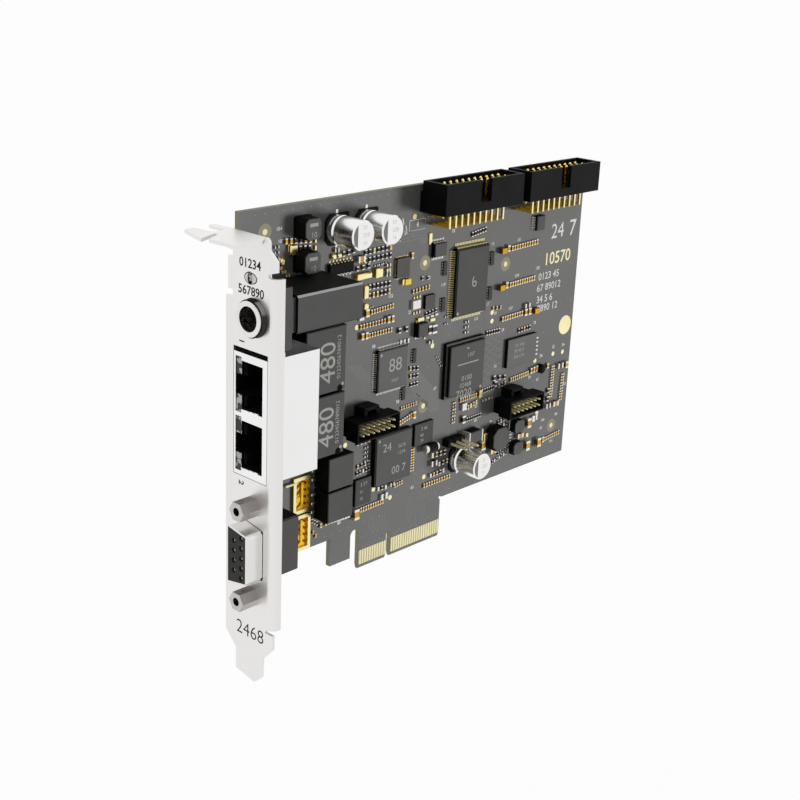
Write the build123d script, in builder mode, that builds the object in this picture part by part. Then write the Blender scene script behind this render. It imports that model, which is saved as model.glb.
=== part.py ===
from build123d import *
import os

# Sound card with a bracket, a phones jack, two network jacks, a nine-way connector and two box headers.
# X runs along the card from the bracket, Z points up from the card edge, and the parts stand on the board's
# face towards -Y. The origin is the middle of the key notch at the bottom of the card edge. Millimetres.

os.makedirs("parts", exist_ok=True)

# Board
BOARD_T = 1.6
BOARD_LEFT, BOARD_RIGHT = -57.15, 82.3
BOARD_BOTTOM, BOARD_TOP = 12.75, 109.4
FACE_Y = -BOARD_T / 2
INNER_R = 0.6

# Card edge
KEY_W = 1.9
KEY_TOP = 8.3
PITCH = 1.0
SHORT_COUNT, LONG_COUNT = 11, 21
FIRST_CONTACT = 1.5
CONTACT_W, CONTACT_T = 0.7, 0.05
CONTACT_TOP = 5.7
EDGE_MARGIN = 0.65
BEVEL_H, BEVEL_IN = 1.25, 0.4
LOCK_SLOT_W, LOCK_SLOT_TOP = 3.55, 12.9
LEG_LEFT, LEG_BOTTOM = -23.6, 4.4
SHORT_END = -FIRST_CONTACT - (SHORT_COUNT - 1) * PITCH - EDGE_MARGIN
LONG_END = FIRST_CONTACT + (LONG_COUNT - 1) * PITCH + EDGE_MARGIN

# Bracket
SHEET_T = 0.86
BRACKET_FACE = -59.91
BRACKET_BACK = BRACKET_FACE + SHEET_T
BRACKET_W, BRACKET_H = 18.42, 120.02
BRACKET_LEFT = 0.8
BRACKET_RIGHT = BRACKET_LEFT - BRACKET_W
FLANGE_TOP = 106.2
TAB_BOTTOM = FLANGE_TOP - BRACKET_H
FLANGE_OUT = 12.5
TOP_BEND_R = 0.8
NOTCH_IN, EDGE_IN = 2.6, 0.8
LOW_NOTCH_Z, LOW_NOTCH_H = FLANGE_TOP - 17.0, 1.75
HIGH_NOTCH_Z, HIGH_NOTCH_H = FLANGE_TOP - 7.1, 1.7
LIP_R, LIP_OUT = 2.3, 2.9
LIP_BOTTOM, LIP_TOP = 3.3, 96.2
FOLD_Y = BRACKET_RIGHT + LIP_R
NECK_RIGHT = BRACKET_RIGHT + 2.82
SHOULDER_LOW, SHOULDER_HIGH = LIP_TOP + 1.0, FLANGE_TOP - 3.2
SHOULDER_SLOPE_LOW, SHOULDER_SLOPE_HIGH = 0.8, 2.4
LIP_GAP = 1.0
TAIL_STEP_Z = LIP_BOTTOM - 5.0
TAB_LEFT_IN, TAB_RIGHT_IN = 4.1, 3.92
TAB_TOP_LEFT, TAB_TOP_RIGHT = TAB_BOTTOM + 7.42, TAB_BOTTOM + 8.02
TAB_SLOPE_LEFT = 4.1
TAB_CORNER_LEFT, TAB_CORNER_IN, TAB_CORNER_UP = 1.4, 3.0, 2.4
TAB_DRAFT = 0.2
FLANGE_LEFT = 3.9
FLANGE_RIGHT = BRACKET_RIGHT + 0.42
FLANGE_NECK = 3.3
SCREW_SLOT_X, SCREW_SLOT_W = FLANGE_OUT - 5.4, 4.4
SCREW_SLOT_Y = -0.8
FIT = 0.15

# Phones jack
JACK_Y, JACK_Z = -9.6, 85.4
JACK_BORE, SLEEVE_D, NOSE_D = 6.4, 9.0, 9.6
JACK_FRONT = BRACKET_FACE - 1.9
COLLAR_BACK, JACK_BODY_FRONT, JACK_BACK = -53.5, -51.6, -29.5
JACK_TOP_Y = -16.25
COLLAR_H, JACK_BODY_H = 15.6, 9.6
COLLAR_UP, JACK_BODY_UP = 0.3, 0.65
TUBE_D = 7.4
RING_T = 0.5
BLADE_XS = (-48.0, -43.0, -38.0)
BLADE_T, BLADE_W = 0.8, 2.4
SLEEVE_L = 11.5
COLLAR_BEVEL, BODY_BEVEL = 1.25, 0.5
JACK_NECK_IN = 0.4

# Status light
LIGHT_Y, LIGHT_Z = -8.1, 95.0
LIGHT_D, LIGHT_HOLE_D = 2.8, 3.2
LIGHT_L, LIGHT_DOME = 3.6, 0.6
LIGHT_SUNK = 0.2
LIGHT_FOOT_T, LIGHT_FOOT_W, LIGHT_FOOT_UP = 1.6, 3.6, 0.9
LIGHT_FOOT_TOP_Y = -9.9

# Network jacks
NET_Z, NET_H = 59.45, 32.3
NET_END_WALL = 1.1
NET_PITCH = NET_H / 2 - NET_END_WALL / 2
NET_TOP_Y, NET_BACK = -14.7, -42.6
NET_SILL_Y = -2.25
SHIELD_T = 0.25
NET_FRONT_EDGE = 1.3
NET_WINDOW_UP = 0.6
PLUG_WALL = 2.9
PLUG_W, PLUG_H = NET_PITCH - PLUG_WALL, 7.9
PLUG_Y = -9.05
PLUG_DEPTH = 13.0
PLUG_LEDGE = 0.4
LATCH_W, LATCH_H = 5.1, 2.2
LIGHT_WALL = 1.1
LIGHT_W = (NET_PITCH - LIGHT_WALL - LATCH_W) / 2
LIGHT_FIT = 0.1
LIGHT_DEPTH = 4.0
SPRINGS = 8
SPRING_T = 0.35
SPRING_PITCH = (PLUG_W - 4.54) / SPRINGS
HOUSING_BACK_GAP = 1.6

# Nine-way connector
DSUB_Y, DSUB_Z = -9.65, 23.6
DSUB_W, DSUB_H, DSUB_OUT = 16.33, 7.9, 6.1
DSUB_RIM = 0.6
DSUB_SCREWS = 24.99
DSUB_FLANGE_W, DSUB_FLANGE_H, DSUB_FLANGE_T = 30.8, 11.2, 0.8
DSUB_TILT = 10
SOCKET_LONG_ROW, SOCKET_SHORT_ROW = 5, 4
SOCKET_EDGE = 1.28
SOCKET_PITCH = (DSUB_W - 2 * DSUB_RIM - SOCKET_EDGE) / SOCKET_LONG_ROW
SOCKET_ROWS = 2.84
SOCKET_D, SOCKET_SIDES = 1.55, 12
SOCKET_ROD = 1.0
SCREW_AF, SCREW_OUT = 4.75, 5.4
SCREW_BORE, SCREW_THREAD = 2.25, 2.8
REAR_TOP_Y, REAR_BACK = -12.8, -47.0
REAR_H, REAR_DOWN, REAR_BEVEL = 15.5, 0.3, 0.4
DSUB_CORNER_R = 1.4
INSULATOR_SUNK = 0.2
SOCKET_DEPTH, SOCKET_ROD_SUNK = 5.0, 2.0
SCREW_TAIL = 1.0

# Box headers
HEADER_L, HEADER_W, HEADER_H = 33.02, 8.82, 8.75
HEADER_LEFT, HEADER_GAP = 7.2, 3.28
HEADER_BOTTOM = 101.84
HEADER_BACK_Y = -1.67
HEADER_WALL, HEADER_FLOOR = 1.1, 2.4
HEADER_KEY_W = 4.5
PIN = 0.64
PIN_PITCH = 2.54
PIN_FIT = 0.04
PINS = 10
HEADER_Y = HEADER_BACK_Y - HEADER_W / 2
PIN_TOP = 109.4
HEADER_RIM_H, HEADER_FOOT_W = 3.0, 1.8
LEG_DROP = 1.45

# Small headers on the board
SMALL_L, SMALL_W, SMALL_H = 16.6, 7.0, 7.2
SMALL_WALL, SMALL_FLOOR = 0.9, 1.6
SMALL_PITCH, SMALL_PIN, SMALL_PINS = 2.0, 0.5, 7
SMALL_KEY_W, SMALL_PIN_SHORT = 3.0, 1.0

# Pin header
PIN_HEADER_PLACE = (25.4, 30.8)
PIN_HEADER_COLUMNS, PIN_HEADER_ROWS = 3, 2
PIN_HEADER_OUT, PIN_HEADER_BEVEL = 8.5, 0.4

# Can capacitors
CAN_D, CAN_H = 8.0, 10.2
CAN_BASE, CAN_BASE_H = 8.3, 1.4
CAN_BASE_CUT, CAN_GROOVE, CAN_BEVEL = 1.6, 0.4, 0.35
CAN_PLACES = [(-24.5, 101.1), (-13.7, 101.1), (29.1, 23.9)]

# Gold frames, filter inductors and processor
FRAME_PLACES = [(-35.3, 29.75), (-35.3, 18.55)]
FRAME_W, FRAME_L, FRAME_BORDER, FRAME_H = 6.4, 10.6, 1.0, 0.8
INDUCTOR_PLACES = [(-36.5, 103.3), (-36.5, 94.6)]
INDUCTOR_FOOT, INDUCTOR_FOOT_H = 5.8, 0.8
INDUCTOR_CORE, INDUCTOR_CORE_H = 5.5, 3.6
PROCESSOR_PLACE = (28.7, 53.0)
CARRIER, CARRIER_H = 17.0, 1.2
LID, LID_H, LID_BEVEL = 15.4, 1.1, 0.25


def face(height=0.0):
    """A plane parallel to the board, this far out from its component face. Its sketches use X and Z."""
    return Plane.XZ.offset(-FACE_Y + height)


def across(x):
    """A plane square to the card's length. Its sketches use Y and Z and it faces away from the bracket."""
    return Plane.YZ.offset(x)


def level(z):
    """A level plane. Its sketches use X and Y."""
    return Plane.XY.offset(z)


def save(builder, name):
    """Name the part and write it out."""
    builder.part.label = name
    export_step(builder.part, f"parts/{name}.step")


# Circuit board: the card's outline with its tongue, key notch, locking slot and lower leg
slot_right = SHORT_END
slot_left = slot_right - LOCK_SLOT_W
arch_z = LOCK_SLOT_TOP - LOCK_SLOT_W / 2
with BuildPart() as circuit_board:
    with BuildSketch(face()):
        with BuildLine():
            Polyline(
                (BOARD_LEFT, BOARD_BOTTOM),
                (LEG_LEFT, BOARD_BOTTOM),
                (LEG_LEFT, LEG_BOTTOM),
                (slot_left, LEG_BOTTOM),
                (slot_left, arch_z),
                (slot_right, arch_z),
                (slot_right, 0),
                (LONG_END, 0),
                (LONG_END, BOARD_BOTTOM),
                (BOARD_RIGHT, BOARD_BOTTOM),
                (BOARD_RIGHT, BOARD_TOP),
                (BOARD_LEFT, BOARD_TOP),
                close=True,
            )
        make_face()
        with Locations(((slot_left + slot_right) / 2, arch_z)):
            Circle(LOCK_SLOT_W / 2, mode=Mode.SUBTRACT)
        with Locations((0, KEY_TOP - KEY_W / 2)):
            Circle(KEY_W / 2, mode=Mode.SUBTRACT)
        with Locations((0, (KEY_TOP - KEY_W / 2) / 2)):
            Rectangle(KEY_W, KEY_TOP - KEY_W / 2, mode=Mode.SUBTRACT)
        with Locations((LONG_END, BOARD_BOTTOM)):
            Circle(INNER_R, mode=Mode.SUBTRACT)
    extrude(amount=-BOARD_T)
    with BuildSketch(across(SHORT_END)):
        for side in (-1, 1):
            with BuildLine():
                Polyline(
                    (side * BOARD_T / 2, 0),
                    (side * (BOARD_T / 2 - BEVEL_IN), 0),
                    (side * BOARD_T / 2, BEVEL_H),
                    close=True,
                )
            make_face()
    extrude(amount=LONG_END - SHORT_END, mode=Mode.SUBTRACT)
save(circuit_board, "circuit_board")

# Gold contacts on both faces of the tongue
contact_h = CONTACT_TOP - BEVEL_H
contact_xs = [-FIRST_CONTACT - i * PITCH for i in range(SHORT_COUNT)]
contact_xs += [FIRST_CONTACT + i * PITCH for i in range(LONG_COUNT)]
with BuildPart() as edge_contacts:
    for plane, amount in ((face(), CONTACT_T), (face(-BOARD_T), -CONTACT_T)):
        with BuildSketch(plane):
            with Locations([(x, BEVEL_H + contact_h / 2) for x in contact_xs]):
                Rectangle(CONTACT_W, contact_h)
        extrude(amount=amount)
save(edge_contacts, "edge_contacts")

# Bracket: a flat sheet with its openings, a flange bent out at the top and a lip bent back along one side
flange_x = BRACKET_FACE - FLANGE_OUT
slot_x = flange_x + SCREW_SLOT_X - SCREW_SLOT_W / 2 + 0.51
bend_x = BRACKET_FACE - TOP_BEND_R
bend_z = FLANGE_TOP - SHEET_T - TOP_BEND_R
with BuildPart() as bracket:
    with BuildSketch(across(BRACKET_FACE)):
        with BuildLine():
            Polyline(
                (BRACKET_LEFT - TAB_LEFT_IN, TAB_BOTTOM + TAB_CORNER_LEFT),
                (BRACKET_LEFT - TAB_LEFT_IN, TAB_TOP_LEFT),
                (BRACKET_LEFT, TAB_TOP_LEFT + TAB_SLOPE_LEFT),
                (BRACKET_LEFT, LOW_NOTCH_Z),
                (BRACKET_LEFT - NOTCH_IN, LOW_NOTCH_Z),
                (BRACKET_LEFT - NOTCH_IN, LOW_NOTCH_Z + LOW_NOTCH_H),
                (BRACKET_LEFT - EDGE_IN, LOW_NOTCH_Z + LOW_NOTCH_H),
                (BRACKET_LEFT - EDGE_IN, HIGH_NOTCH_Z),
                (BRACKET_LEFT - NOTCH_IN, HIGH_NOTCH_Z),
                (BRACKET_LEFT - NOTCH_IN, HIGH_NOTCH_Z + HIGH_NOTCH_H),
                (BRACKET_LEFT - EDGE_IN, HIGH_NOTCH_Z + HIGH_NOTCH_H),
                (BRACKET_LEFT - EDGE_IN, bend_z),
                (NECK_RIGHT, bend_z),
                (NECK_RIGHT, SHOULDER_HIGH),
                (BRACKET_RIGHT, SHOULDER_HIGH - SHOULDER_SLOPE_HIGH),
                (BRACKET_RIGHT, SHOULDER_LOW + SHOULDER_SLOPE_LOW),
                (NECK_RIGHT, SHOULDER_LOW),
                (NECK_RIGHT, LIP_TOP),
                (FOLD_Y, LIP_TOP),
                (FOLD_Y, LIP_BOTTOM),
                (NECK_RIGHT, LIP_BOTTOM - LIP_GAP),
                (BRACKET_RIGHT, LIP_BOTTOM - LIP_GAP),
                (BRACKET_RIGHT, TAIL_STEP_Z),
                (BRACKET_RIGHT + TAB_RIGHT_IN, TAB_TOP_RIGHT),
                (BRACKET_RIGHT + TAB_RIGHT_IN + TAB_DRAFT, TAB_BOTTOM + TAB_CORNER_UP),
                (BRACKET_RIGHT + TAB_RIGHT_IN + TAB_CORNER_IN, TAB_BOTTOM),
                close=True,
            )
        make_face()
        with Locations((JACK_Y, JACK_Z)):
            Circle(NOSE_D / 2 + FIT, mode=Mode.SUBTRACT)
        with Locations((LIGHT_Y, LIGHT_Z)):
            Circle(LIGHT_HOLE_D / 2, mode=Mode.SUBTRACT)
        with Locations(((NET_SILL_Y + NET_TOP_Y) / 2, NET_Z + NET_WINDOW_UP)):
            Rectangle(NET_SILL_Y - NET_TOP_Y + 2 * FIT, NET_H + 2 * NET_WINDOW_UP + 2 * FIT, mode=Mode.SUBTRACT)
        with Locations((DSUB_Y, DSUB_Z - DSUB_SCREWS / 2), (DSUB_Y, DSUB_Z + DSUB_SCREWS / 2)):
            Circle(SCREW_THREAD / 2 + FIT, mode=Mode.SUBTRACT)
        with Locations((DSUB_Y, DSUB_Z)):
            Trapezoid(
                DSUB_W + 2 * FIT, DSUB_H + 2 * FIT, 90 - DSUB_TILT, rotation=90, mode=Mode.SUBTRACT
            )
    extrude(amount=SHEET_T)
    with BuildSketch(Plane.XZ):
        with BuildLine():
            CenterArc((bend_x, bend_z), TOP_BEND_R + SHEET_T, 0, 90)
            Line((bend_x, FLANGE_TOP), (bend_x, FLANGE_TOP - SHEET_T))
            CenterArc((bend_x, bend_z), TOP_BEND_R, 0, 90)
            Line((BRACKET_FACE, bend_z), (BRACKET_BACK, bend_z))
        make_face()
    extrude(amount=-NECK_RIGHT)
    with BuildSketch(level(FLANGE_TOP - SHEET_T)):
        with BuildLine():
            Polyline(
                (bend_x, FLANGE_LEFT),
                (slot_x + SCREW_SLOT_W, FLANGE_LEFT),
                (slot_x + SCREW_SLOT_W, SCREW_SLOT_Y),
            )
            RadiusArc((slot_x + SCREW_SLOT_W, SCREW_SLOT_Y), (slot_x, SCREW_SLOT_Y), SCREW_SLOT_W / 2)
            Polyline(
                (slot_x, SCREW_SLOT_Y),
                (slot_x - 0.4, FLANGE_LEFT - 0.3),
                (slot_x - 3.6, FLANGE_LEFT - 0.7),
                (flange_x - 1.1, FLANGE_LEFT - 10.6),
                (slot_x - 0.8, FLANGE_LEFT - 8.3),
                (slot_x - 0.6, FLANGE_LEFT - 9.5),
                (flange_x, FLANGE_LEFT - 12.1),
                (flange_x + 0.7, FLANGE_RIGHT),
                (bend_x - FLANGE_NECK, FLANGE_RIGHT),
                (bend_x, NECK_RIGHT),
                (bend_x, FLANGE_LEFT),
            )
        make_face()
    extrude(amount=SHEET_T)
    with BuildSketch(level(LIP_BOTTOM)):
        with BuildLine():
            CenterArc((BRACKET_FACE + LIP_R, FOLD_Y), LIP_R, 180, 90)
            Polyline(
                (BRACKET_FACE + LIP_R, BRACKET_RIGHT),
                (BRACKET_FACE + LIP_OUT, BRACKET_RIGHT),
                (BRACKET_FACE + LIP_OUT, BRACKET_RIGHT + SHEET_T),
                (BRACKET_FACE + LIP_R, BRACKET_RIGHT + SHEET_T),
            )
            CenterArc((BRACKET_FACE + LIP_R, FOLD_Y), LIP_R - SHEET_T, 180, 90)
            Line((BRACKET_BACK, FOLD_Y), (BRACKET_FACE, FOLD_Y))
        make_face()
    extrude(amount=LIP_TOP - LIP_BOTTOM)
save(bracket, "bracket")

# Phones jack: a plastic body with a wide collar behind the bracket and a nose through it
collar_y = (FACE_Y + JACK_TOP_Y) / 2
collar_w = FACE_Y - JACK_TOP_Y
with BuildPart() as phones_jack_body:
    with BuildSketch(across(BRACKET_BACK)):
        with Locations((collar_y, JACK_Z + COLLAR_UP)):
            Rectangle(collar_w, COLLAR_H)
    extrude(amount=COLLAR_BACK - BRACKET_BACK)
    with BuildSketch(across(COLLAR_BACK)):
        with Locations((collar_y + JACK_NECK_IN, JACK_Z + JACK_BODY_UP)):
            Rectangle(collar_w - 2 * JACK_NECK_IN, JACK_BODY_H - 2 * JACK_NECK_IN)
    extrude(amount=JACK_BODY_FRONT - COLLAR_BACK)
    with BuildSketch(across(JACK_BODY_FRONT)):
        with Locations((collar_y, JACK_Z + JACK_BODY_UP)):
            Rectangle(collar_w, JACK_BODY_H)
    extrude(amount=JACK_BACK - JACK_BODY_FRONT)
    front_edges = phones_jack_body.edges().filter_by(Axis.Z)
    chamfer(front_edges.filter_by_position(Axis.X, BRACKET_BACK - 0.1, BRACKET_BACK + 0.1), COLLAR_BEVEL)
    long_edges = phones_jack_body.edges().filter_by(Axis.X).group_by(Axis.Y)[0]
    chamfer(long_edges.filter_by_position(Axis.X, BLADE_XS[0], BLADE_XS[-1]), BODY_BEVEL)
    with BuildSketch(across(BRACKET_BACK)):
        with Locations((JACK_Y, JACK_Z)):
            Circle(NOSE_D / 2)
    extrude(amount=JACK_FRONT + RING_T - BRACKET_BACK)
    with BuildSketch(across(JACK_FRONT)):
        with Locations((JACK_Y, JACK_Z)):
            Circle(TUBE_D / 2)
    extrude(amount=JACK_BACK - 3.0 - JACK_FRONT, mode=Mode.SUBTRACT)
    with BuildSketch(face()):
        with Locations([(x, JACK_Z) for x in BLADE_XS]):
            Rectangle(BLADE_T, BLADE_W)
    extrude(amount=-JACK_Y + FACE_Y - TUBE_D / 4, mode=Mode.SUBTRACT)
save(phones_jack_body, "phones_jack_body")

# The jack's metal sleeve: a ring at the mouth and a tube behind it
with BuildPart() as phones_jack_sleeve:
    with BuildSketch(across(JACK_FRONT)):
        with Locations((JACK_Y, JACK_Z)):
            Circle(SLEEVE_D / 2)
            Circle(JACK_BORE / 2, mode=Mode.SUBTRACT)
    extrude(amount=RING_T)
    with BuildSketch(across(JACK_FRONT + RING_T)):
        with Locations((JACK_Y, JACK_Z)):
            Circle(TUBE_D / 2)
            Circle(JACK_BORE / 2, mode=Mode.SUBTRACT)
    extrude(amount=SLEEVE_L)
save(phones_jack_sleeve, "phones_jack_sleeve")

# The jack's contact springs: flat blades from the board into the bore
with BuildPart() as phones_jack_contacts:
    with BuildSketch(face()):
        with Locations([(x, JACK_Z) for x in BLADE_XS]):
            Rectangle(BLADE_T, BLADE_W)
    extrude(amount=-JACK_Y + FACE_Y - JACK_BORE / 2 + 0.2)
save(phones_jack_contacts, "phones_jack_contacts")

# Status light: a domed light that looks through the bracket, on a foot that stands on the board
with BuildPart() as status_light:
    with BuildSketch(across(BRACKET_FACE + LIGHT_SUNK)):
        with Locations((LIGHT_Y, LIGHT_Z)):
            Circle(LIGHT_D / 2)
    extrude(amount=LIGHT_L)
    chamfer(status_light.edges().group_by(Axis.X)[0], LIGHT_DOME)
    with BuildSketch(across(BRACKET_FACE + LIGHT_SUNK + LIGHT_L)):
        with Locations(((FACE_Y + LIGHT_FOOT_TOP_Y) / 2, LIGHT_Z + LIGHT_FOOT_UP)):
            Rectangle(FACE_Y - LIGHT_FOOT_TOP_Y, LIGHT_FOOT_W)
    extrude(amount=LIGHT_FOOT_T)
save(status_light, "status_light")

# Network jacks: a metal shield around a plastic housing with two plug cavities
net_y = (FACE_Y + NET_TOP_Y) / 2
net_w = FACE_Y - NET_TOP_Y
port_zs = [NET_Z - NET_PITCH / 2, NET_Z + NET_PITCH / 2]
net_l = NET_BACK - BRACKET_FACE
latch_y = PLUG_Y + PLUG_H / 2 + LATCH_H / 2
lights_w = LATCH_W + 2 * LIGHT_W
with BuildPart() as network_jack_shield:
    with BuildSketch(across(BRACKET_FACE)):
        with Locations((net_y - NET_FRONT_EDGE / 2, NET_Z)):
            Rectangle(net_w - NET_FRONT_EDGE, NET_H)
        with Locations([(PLUG_Y, z) for z in port_zs]):
            Rectangle(PLUG_H, PLUG_W, mode=Mode.SUBTRACT)
        with Locations([(latch_y, z) for z in port_zs]):
            Rectangle(LATCH_H, lights_w, mode=Mode.SUBTRACT)
    extrude(amount=SHIELD_T)
    with BuildSketch(across(BRACKET_FACE + SHIELD_T)):
        with Locations((net_y, NET_Z)):
            Rectangle(net_w, NET_H)
        with Locations((net_y + SHIELD_T / 2, NET_Z)):
            Rectangle(net_w - SHIELD_T, NET_H - 2 * SHIELD_T, mode=Mode.SUBTRACT)
    extrude(amount=net_l - 2 * SHIELD_T)
    with BuildSketch(across(NET_BACK - SHIELD_T)):
        with Locations((net_y, NET_Z)):
            Rectangle(net_w, NET_H)
    extrude(amount=SHIELD_T)
    with BuildSketch(across(BRACKET_FACE)):
        with Locations(((FACE_Y + NET_SILL_Y) / 2, NET_Z)):
            Rectangle(FACE_Y - NET_SILL_Y, NET_H)
    extrude(amount=SHEET_T, mode=Mode.SUBTRACT)
save(network_jack_shield, "network_jack_shield")

housing_front = BRACKET_FACE + SHIELD_T
housing_back = NET_BACK - SHIELD_T - HOUSING_BACK_GAP
cavity_w = PLUG_W - 2 * PLUG_LEDGE
spring_slot = SPRINGS * SPRING_PITCH
light_h, light_w = LATCH_H - 2 * LIGHT_FIT, LIGHT_W - 2 * LIGHT_FIT
light_places = [
    (latch_y, z + side * (LATCH_W + LIGHT_W) / 2)
    for z in port_zs
    for side in (-1, 1)
]
spring_y = PLUG_Y - PLUG_H / 2
with BuildPart() as network_jack_housing:
    with BuildSketch(across(housing_front)):
        with Locations((net_y + SHIELD_T / 2, NET_Z)):
            Rectangle(net_w - SHIELD_T, NET_H - 2 * SHIELD_T)
    extrude(amount=housing_back - housing_front)
    with BuildSketch(across(housing_front)):
        with Locations([(PLUG_Y, z) for z in port_zs]):
            Rectangle(PLUG_H, cavity_w)
        with Locations([(latch_y, z) for z in port_zs]):
            Rectangle(LATCH_H, LATCH_W)
    extrude(amount=PLUG_DEPTH, mode=Mode.SUBTRACT)
    with BuildSketch(across(housing_front)):
        with Locations(light_places):
            Rectangle(light_h, light_w)
    extrude(amount=LIGHT_DEPTH, mode=Mode.SUBTRACT)
    with BuildSketch(across(housing_front + PLUG_DEPTH)):
        with Locations([(spring_y + 0.25, z) for z in port_zs]):
            Rectangle(0.5, spring_slot)
    extrude(until=Until.LAST, mode=Mode.SUBTRACT)
    with BuildSketch(across(housing_front)):
        with Locations(((FACE_Y + NET_SILL_Y) / 2, NET_Z)):
            Rectangle(FACE_Y - NET_SILL_Y, NET_H)
    extrude(amount=BRACKET_BACK - housing_front, mode=Mode.SUBTRACT)
save(network_jack_housing, "network_jack_housing")

# Clear light windows beside each latch notch
with BuildPart() as network_jack_windows:
    with BuildSketch(across(housing_front)):
        with Locations(light_places):
            Rectangle(light_h, light_w)
    extrude(amount=LIGHT_DEPTH)
save(network_jack_windows, "network_jack_windows")

# Eight spring contacts in each plug cavity, led along the wall and down to the board
spring_tip = housing_front + 3.4
leg_x = housing_back + 0.5
spring_zs = [z + (i - (SPRINGS - 1) / 2) * SPRING_PITCH for z in port_zs for i in range(SPRINGS)]
with BuildPart() as network_jack_contacts:
    for z in spring_zs:
        with BuildSketch(level(z - SPRING_T / 2)):
            with BuildLine():
                Polyline(
                    (leg_x, FACE_Y),
                    (leg_x, spring_y + 0.4),
                    (spring_tip + 0.8, spring_y + 0.4),
                    (spring_tip + 5.6, spring_y + 2.6),
                    (spring_tip + 5.4, spring_y + 2.95),
                    (spring_tip, spring_y + 0.55),
                    (spring_tip, spring_y),
                    (leg_x + 0.4, spring_y),
                    (leg_x + 0.4, FACE_Y),
                    close=True,
                )
            make_face()
        extrude(amount=SPRING_T)
save(network_jack_contacts, "network_jack_contacts")

# Nine-way connector: shell, insulator, contacts, rear block and jack screws
dsub_front = BRACKET_BACK - DSUB_OUT
insulator_front = dsub_front + INSULATOR_SUNK
flange_back = BRACKET_BACK + DSUB_FLANGE_T
screw_zs = [DSUB_Z - DSUB_SCREWS / 2, DSUB_Z + DSUB_SCREWS / 2]
insulator_w, insulator_h = DSUB_W - 2 * DSUB_RIM, DSUB_H - 2 * DSUB_RIM
with BuildPart() as dsub_shell:
    with BuildSketch(across(BRACKET_BACK)):
        with Locations((DSUB_Y, DSUB_Z)):
            Rectangle(DSUB_FLANGE_H, DSUB_FLANGE_W)
        with Locations([(DSUB_Y, z) for z in screw_zs]):
            Circle(SCREW_THREAD / 2 + FIT, mode=Mode.SUBTRACT)
    extrude(amount=DSUB_FLANGE_T)
    with BuildSketch(across(BRACKET_BACK)):
        with Locations((DSUB_Y, DSUB_Z)):
            Trapezoid(DSUB_W, DSUB_H, 90 - DSUB_TILT, rotation=90)
    extrude(amount=-DSUB_OUT)
    rim_edges = dsub_shell.edges().filter_by(Axis.X).filter_by_position(Axis.X, dsub_front, BRACKET_BACK)
    fillet(rim_edges, DSUB_CORNER_R)
    with BuildSketch(across(dsub_front)):
        with Locations((DSUB_Y, DSUB_Z)):
            Trapezoid(insulator_w, insulator_h, 90 - DSUB_TILT, rotation=90)
    extrude(amount=DSUB_OUT + DSUB_FLANGE_T, mode=Mode.SUBTRACT)
save(dsub_shell, "dsub_shell")

row_counts = {DSUB_Y - SOCKET_ROWS / 2: SOCKET_LONG_ROW, DSUB_Y + SOCKET_ROWS / 2: SOCKET_SHORT_ROW}
socket_places = []
for row_y, count in row_counts.items():
    socket_places += [(row_y, DSUB_Z + (i - (count - 1) / 2) * SOCKET_PITCH) for i in range(count)]
with BuildPart() as dsub_insulator:
    with BuildSketch(across(insulator_front)):
        with Locations((DSUB_Y, DSUB_Z)):
            Trapezoid(insulator_w, insulator_h, 90 - DSUB_TILT, rotation=90)
    extrude(amount=flange_back - insulator_front)
    with BuildSketch(across(insulator_front)):
        with Locations(socket_places):
            RegularPolygon(SOCKET_D / 2, SOCKET_SIDES)
    extrude(amount=SOCKET_DEPTH, mode=Mode.SUBTRACT)
save(dsub_insulator, "dsub_insulator")

with BuildPart() as dsub_contacts:
    with BuildSketch(across(insulator_front + SOCKET_ROD_SUNK)):
        with Locations(socket_places):
            Rectangle(SOCKET_ROD, SOCKET_ROD)
    extrude(amount=SOCKET_DEPTH - SOCKET_ROD_SUNK)
save(dsub_contacts, "dsub_contacts")

with BuildPart() as dsub_rear_block:
    with BuildSketch(across(flange_back)):
        with Locations(((FACE_Y + REAR_TOP_Y) / 2, DSUB_Z - REAR_DOWN)):
            Rectangle(FACE_Y - REAR_TOP_Y, REAR_H)
    extrude(amount=REAR_BACK - flange_back)
    rear_edges = dsub_rear_block.edges().filter_by(Axis.X).group_by(Axis.Y)[0]
    chamfer(rear_edges, REAR_BEVEL)
save(dsub_rear_block, "dsub_rear_block")

for name, z in zip(("jack_screw_lower", "jack_screw_upper"), screw_zs):
    with BuildPart() as jack_screw:
        with BuildSketch(across(BRACKET_FACE)):
            with Locations((DSUB_Y, z)):
                RegularPolygon(SCREW_AF / 2, 6, major_radius=False)
        extrude(amount=-SCREW_OUT)
        with BuildSketch(across(BRACKET_FACE)):
            with Locations((DSUB_Y, z)):
                Circle(SCREW_THREAD / 2)
        extrude(amount=flange_back + SCREW_TAIL - BRACKET_FACE)
        with BuildSketch(across(BRACKET_FACE - SCREW_OUT)):
            with Locations((DSUB_Y, z)):
                Circle(SCREW_BORE / 2)
        extrude(amount=SCREW_OUT, mode=Mode.SUBTRACT)
    save(jack_screw, name)

# Gold frames on the board behind the connector
with BuildPart() as ground_frames:
    with BuildSketch(face()):
        with Locations(FRAME_PLACES):
            Rectangle(FRAME_W, FRAME_L)
            Rectangle(FRAME_W - 2 * FRAME_BORDER, FRAME_L - 2 * FRAME_BORDER, mode=Mode.SUBTRACT)
    extrude(amount=FRAME_H)
save(ground_frames, "ground_frames")


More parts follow.
